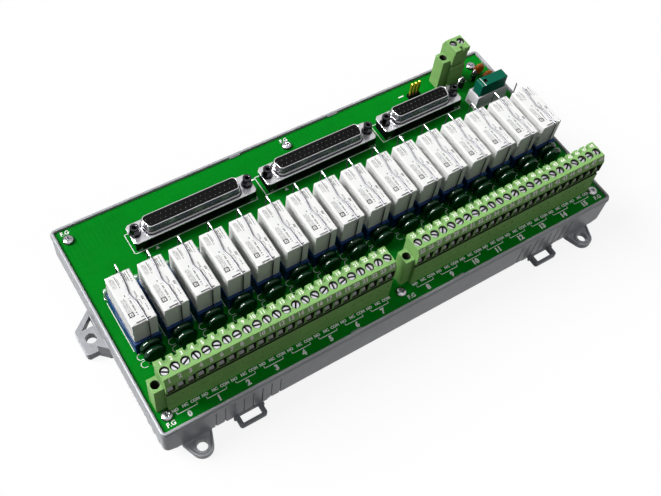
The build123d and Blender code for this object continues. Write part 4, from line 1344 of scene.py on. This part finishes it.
head_data = pan_head()
middle = BOARD_LENGTH / 2
front_row = (SCREW_INSET, middle, BOARD_LENGTH - SCREW_INSET)
rear_row = (SCREW_INSET, middle - 2.8, BOARD_LENGTH - 8.8)
screw_places = [(x, FRONT_SCREWS) for x in front_row] + [(x, rear_screws) for x in rear_row]
heads = copies(head_data, [on_board(x, y, 0.0, turns.uniform(0, 90)) for x, y in screw_places])
piece("pan_heads", to_mesh("pan_heads", heads), [screw_steel], ["board_screws"], "screw_steel", 0.08)
print("board screws:", len(screw_places))

# %% [markdown]
# ## Fuse and holder
#
# A teal fuse carrier stands in a white holder whose walls lean in a little, as a moulding's do.
# A pale stripe crosses the carrier near its left end, with a notch beside it whose faces are
# black, painted shade. Its rating text is left off.

# %% Fuse carrier in its holder
HOLDER_LEVELS = ((-11.2, 11.2, 4.6, 0), (-10.6, 11.1, 4.4, 9.2), (-10.4, 10.9, 4.2, 10.0))
CARRIER_SIDE = ((-9.0, 6.5), (9.3, 6.5), (9.3, 18.0), (-8.7, 18.0), (-9.2, 17.0), (-9.0, 10.0))
CARRIER_HALF = 3.15
STRIPE = (-6.8, -6.4)
fuse_place = on_board(*middle_of("fuse"))
holder = bmesh.new()
skin(holder, [[(left, -half, z), (right, -half, z), (right, half, z), (left, half, z)]
              for left, right, half, z in HOLDER_LEVELS])
well = bmesh.new()
block(well, -9.5, 9.5, -3.35, 3.35, 6.3, 11)
block(well, -9.0, 9.0, -6, -4.35, 1.5, 7.6)
piece("holder_body", carved("holder_body", holder, well), [holder_white], ["fuse_holder"], "holder_white",
      0.25, place=fuse_place)
carrier = bmesh.new()
skin(carrier, [[(x, y, z) for x, z in CARRIER_SIDE] for y in (-CARRIER_HALF, CARRIER_HALF)])
notch = bmesh.new()
block(notch, *STRIPE, -4, 4, 17.75, 19)
# The notch's faces take the black as painted shade.
block(notch, -5.6, -3.4, -1.1, 1.1, 16.6, 19, 1)
piece("fuse_carrier", carved("fuse_carrier", carrier, notch), [fuse_teal, connector_black], ["fuse"],
      "fuse_teal", 0.22, place=fuse_place)
stripe = bmesh.new()
block(stripe, *STRIPE, -3.1, 3.1, 17.7, 17.98)
piece("fuse_stripe", to_mesh("fuse_stripe", stripe), [print_white], place=fuse_place)
print("fuse at", [round(part, 1) for part in middle_of("fuse")], "mm on the board")

# %% [markdown]
# ## Small parts at the right rear
#
# Here stand a three pin jumper with gold pins and two orange discs. A pin is a square drawn
# through three levels, the last one half as wide, which gives its tip. The discs are dipped like
# the varistors, so they use the same helper at another size.

# %% Jumper and orange discs
PIN_PITCH, PIN_HALF = 2.54, 0.6
SQUARE = ((-1, -1), (1, -1), (1, 1), (-1, 1))
PIN_LEVELS = ((1, 2.4), (1, 11.1), (0.5, 11.5))
SMALL_DISC_SIZES = {"radius": 3.88, "thickness": 2.6, "lift": 0.5, "lead_gap": 5.0}
jumper_x, jumper_y = middle_of("jumper_header")
jumper = bmesh.new()
block(jumper, -1.5 * PIN_PITCH, 1.5 * PIN_PITCH, -1.25, 1.25, 0, 2.5)
for x in (-PIN_PITCH, 0, PIN_PITCH):
    outlines = [[(x + PIN_HALF * share * across, PIN_HALF * share * along, z) for across, along in SQUARE]
                for share, z in PIN_LEVELS]
    skin(jumper, outlines, index=1)
piece("jumper_pins", to_mesh("jumper_pins", jumper), [connector_black, gold], ["jumper_header"],
      "header_gold", 0.1, place=on_board(jumper_x, jumper_y))


def from_rear_right(from_right, from_rear):
    """A placing matrix measured from the board's right rear corner."""
    return on_board(BOARD_LENGTH - from_right, BOARD_WIDTH - from_rear)


small_disc = dipped_disc(**SMALL_DISC_SIZES)
orange = copies(small_disc, (from_rear_right(8.8, 13.7), from_rear_right(7.1, 20.2)))
piece("orange_discs", to_mesh("orange_discs", orange), [capacitor_orange, solder], ["disc_capacitors"],
      "capacitor_orange", sharp=60)
print("orange discs: 2, faces each", len(small_disc.polygons))

# %% [markdown]
# ## Diodes on end
#
# Two diodes stand upright to save room, each with its upper lead looped over to the board. The
# body is turned in three lengths, because the band that marks one end has another colour, and
# the lead is a wire whose loop leans towards its second hole.

# %% Diodes on end
DIODE_FOOT = ((1.1, 0.4), (1.6, 0.7), (1.7, 1.2), (1.7, 5.4))
DIODE_BAND = ((1.71, 5.4), (1.71, 6.3))
DIODE_HEAD = ((1.7, 6.3), (1.6, 6.9), (1.1, 7.2))
DIODE_LEAD = 0.42


def diode_mesh(reach_x, reach_y):
    """A banded body on end, its upper lead looped over to a place beside it."""
    mesh = bmesh.new()
    for profile, index in ((DIODE_FOOT, 0), (DIODE_BAND, 1), (DIODE_HEAD, 0)):
        turned(mesh, profile, 20, index=index)
    down = [(reach_x, reach_y, z) for z in (7.6, 4.0, -0.1)]
    wire(mesh, [(0, 0, 7.0), (0, 0, 8.6), (reach_x / 2, reach_y / 2, 10.0)] + down, DIODE_LEAD, 2, 4)
    return to_mesh("diode", mesh)


diodes = bmesh.new()
add_copy(diodes, diode_mesh(-4.6, -1.4), from_rear_right(24.3, 17.4))
add_copy(diodes, diode_mesh(-2.6, -1.0), from_rear_right(14.6, 16.4))
piece("diodes_on_end", to_mesh("diodes_on_end", diodes), [diode_black, terminal_metal, bright_wire_and_highlight],
      ["standing_diodes"], "diode_black", sharp=50)

# %% [markdown]
# ## White print on the board
#
# The legend is printed on the mask in white ink. It could be painted on by a texture, but a flat
# mesh that lies a hair above the board stays sharp at any distance. Every line and shape of it
# goes into one mesh, so two helpers that add to it are enough.

# %% Printing helpers
INK = 0.03
legend = bmesh.new()


def ink_shape(corners):
    """A filled printed shape with its corners on the board."""
    legend.faces.new([legend.verts.new(on_board(x, y, INK).translation) for x, y in corners])


def ink_path(points, width):
    """A printed line through several places on the board."""
    for first, last in zip(points, points[1:]):
        start, end = Vector(first), Vector(last)
        along = (end - start).normalized() * width / 2
        across = Vector((-along.y, along.x))
        from_here, to_there = start - along, end + along
        ink_shape((from_here - across, to_there - across, to_there + across, from_here + across))


print("printing helpers:", ink_shape.__name__, ink_path.__name__)

# %% [markdown]
# ## Channel numbers
#
# Every three poles serve one channel, so a bracket joins them in front, with the channel's number
# on it and the names of the contacts behind it. The frame ground screws have F.G beside them.

# %% Channel numbers and contact names
BRACKET_LENGTH = 10.2
BRACKET_FRONT, BRACKET_BACK = 5.05, 5.9
NAME_ROW, NAME_SIZE = 7.35, 2.05
NUMBER_ROW, NUMBER_SIZE = 2.6, 3.9
GROUND_ROW, GROUND_SIZE = 2.4, 3.2
for channel in range(CHANNELS):
    first = FIRST_POLES[channel // 8] + (channel % 8) * 3 * PITCH
    last = first + BRACKET_LENGTH
    bracket = ((first, BRACKET_BACK), (first, BRACKET_FRONT), (last, BRACKET_FRONT), (last, BRACKET_BACK))
    ink_path(bracket, 0.42)
    for pole, text in enumerate(("NO", "NC", "COM")):
        lettering(legend, text, NAME_SIZE, on_board(first + pole * PITCH, NAME_ROW, INK), 0.13)
    in_bracket = on_board(first + BRACKET_LENGTH / 2, NUMBER_ROW, INK)
    lettering(legend, str(channel), NUMBER_SIZE, in_bracket, 0.25)
ground_places = ((SCREW_INSET, GROUND_ROW), (middle + 3.6, GROUND_ROW), (BOARD_LENGTH - 4.3, GROUND_ROW),
                 (SCREW_INSET, rear_screws + 4.8), (middle - 2.4, rear_screws + 4.3))
for x, y in ground_places:
    lettering(legend, "F.G", GROUND_SIZE, on_board(x, y, INK), 0.1)
print("channels named:", CHANNELS, "ground marks:", len(ground_places))

# %% [markdown]
# ## Outlines round the parts
#
# Printed lines show where each part is to be fitted: a line and two hooks at the left of every
# relay and its varistors, a frame round every connector, and short bars that mark a first pin.

# %% Outlines round the parts
THIN, MEDIUM, BOLD = 0.3, 0.35, 0.8
LEFT_OF_RELAY = 7.2
RELAY_LINE = (43.0, 72.4)
HOOK = ((2.2, 1.7), (0.4, 1.5), (-0.4, 0), (0.4, -1.5), (2.2, -1.7))
HOOK_ROWS = (38.9, 34.6)
FRAME_ENDS, FRAME_FRONT, FRAME_BACK = 0.6, 6.0, 6.9
for y in (jumper_y - 2.6, jumper_y + 2.6):
    ink_path(((jumper_x - 8.2, y), (jumper_x - 5.4, y)), BOLD)
for x in relay_x:
    left = x - LEFT_OF_RELAY
    ink_path([(left, y) for y in RELAY_LINE], MEDIUM)
    for row in HOOK_ROWS:
        ink_path([(left + across, row + along) for across, along in HOOK], MEDIUM)
for label, (length, spacing, long_row) in connectors.items():
    x, y = middle_of("connector_shell_" + label)
    left, right = x - length / 2 - FRAME_ENDS, x + length / 2 + FRAME_ENDS
    front, back = y - FRAME_FRONT, y + FRAME_BACK
    ink_path(((left, front), (right, front), (right, back), (left, back), (left, front)), 0.4)
    if label != "left":
        ink_path(((left - 3.0, y + 6.2), (left - 0.8, y + 6.2)), BOLD)
    ink_shape(((left + 10.2, y - 8.4), (left + 12.6, y - 8.4), (left + 11.4, y - 6.7)))
ink_path(((power_x - 7.8, power_y - 6.9), (power_x + 7.8, power_y - 6.9)), THIN)
legend_data = to_mesh("board_legend", legend)
piece("board_legend", legend_data, [print_white])
print("legend faces:", len(legend_data.polygons))

# %% [markdown]
# ## Floor
#
# The picture has a pure white ground and no shadow to speak of. The floor is a dark grey to the
# light that bounces off it, so it doesn't wash out the sides of the object, and nearly white to
# the camera, to reflections and through clear parts. Most of that white is a glow of its own,
# on which a shadow hardly shows.

# %% Floor
FLOOR_DROP = 0.2 * MM
FLOOR_BOUNCE = (0.1, 0.1, 0.1, 1)
FLOOR_SEEN = (0.95, 0.95, 0.95, 1)
GLOW_SHARE = 0.88


def seen_directly(tree):
    """1 for camera, mirror and transmitted rays, and 0 for the light that bounces."""
    path = tree.nodes.new("ShaderNodeLightPath").outputs
    either = add_math(tree, "MAXIMUM", path["Is Camera Ray"], path["Is Glossy Ray"])
    return add_math(tree, "MAXIMUM", either, path["Is Transmission Ray"])


floor_mesh = bmesh.new()
bmesh.ops.create_grid(floor_mesh, x_segments=1, y_segments=1, size=4.0)
floor = bpy.data.objects.new("floor", to_mesh("floor", floor_mesh))
bpy.context.scene.collection.objects.link(floor)
floor.location.z = -FLOOR_DROP
floor_material = bpy.data.materials.new("floor")
floor_material.use_nodes = True
tree = floor_material.node_tree
tree.nodes.clear()
output = tree.nodes.new("ShaderNodeOutputMaterial")
bouncing = tree.nodes.new("ShaderNodeBsdfDiffuse")
bouncing.inputs["Color"].default_value = FLOOR_BOUNCE
seen = tree.nodes.new("ShaderNodeBsdfDiffuse")
seen.inputs["Color"].default_value = FLOOR_SEEN
glow = tree.nodes.new("ShaderNodeEmission")
pale = tree.nodes.new("ShaderNodeMixShader")
pale.inputs["Fac"].default_value = GLOW_SHARE
tree.links.new(seen.outputs[0], pale.inputs[1])
tree.links.new(glow.outputs[0], pale.inputs[2])
choice = tree.nodes.new("ShaderNodeMixShader")
tree.links.new(seen_directly(tree), choice.inputs["Fac"])
tree.links.new(bouncing.outputs[0], choice.inputs[1])
tree.links.new(pale.outputs[0], choice.inputs[2])
tree.links.new(choice.outputs[0], output.inputs["Surface"])
floor.data.materials.append(floor_material)
print("floor", FLOOR_DROP / MM, "mm below the object")

# %% [markdown]
# ## World
#
# The white round the object is the world behind it. Like the floor it is white where it is seen
# or mirrored, and weak where it lights, so the lamps alone decide what is bright.

# %% World
WORLD_LIGHT = 0.09
world = bpy.data.worlds.new("studio")
bpy.context.scene.world = world
world.use_nodes = True
tree = world.node_tree
background = tree.nodes["Background"]
background.inputs["Color"].default_value = (1, 1, 1, 1)
strength = tree.nodes.new("ShaderNodeMapRange")
strength.inputs["To Min"].default_value = WORLD_LIGHT
strength.inputs["To Max"].default_value = 1.0
tree.links.new(seen_directly(tree), strength.inputs["Value"])
tree.links.new(strength.outputs["Result"], background.inputs["Strength"])
print("the world lights at", WORLD_LIGHT)

# %% [markdown]
# ## Lamps
#
# A soft distant lamp at the left rear lights the tops and the left sides. Mirrored in the
# plating it would be a glare, so reflections don't see it. Three smaller lamps in an arc round
# its direction do the opposite: they light nothing evenly, and only show as highlights on glossy
# forms. A weak lamp overhead and one in front keep the shaded faces readable. Every lamp lights
# directly only, because light that bounced off the board would turn the white relays green.

# %% Key, highlights and fill
TO_KEY = (-0.60, 0.46, 0.65)
HIGHLIGHTS = {"gloss_low": (-0.88, 0.3, 0.42), "gloss": (-0.72, 0.3, 0.66), "gloss_high": (-0.46, 0.3, 0.86)}


def distant_lamp(name, direction, angle, white):
    """A distant lamp; white is how bright it makes a white surface that faces it."""
    data = bpy.data.lights.new(name, "SUN")
    data.energy = white * math.pi
    data.angle = math.radians(angle)
    data.cycles.max_bounces = 0
    lamp = bpy.data.objects.new(name, data)
    bpy.context.scene.collection.objects.link(lamp)
    lamp.rotation_euler = Vector(direction).to_track_quat("Z", "Y").to_euler()
    return lamp


key = distant_lamp("key", TO_KEY, 34.0, 1.2)
key.visible_glossy = False
for name, direction in HIGHLIGHTS.items():
    distant_lamp(name, direction, 18.0, 2.4).visible_diffuse = False
distant_lamp("top", (0.0, 0.0, 1.0), 40.0, 0.08)
distant_lamp("front", (0.25, -0.6, 0.76), 60.0, 0.11)

bpy.context.scene.view_settings.view_transform = "Standard"
print("lamps:", [lamp.name for lamp in bpy.data.lights])
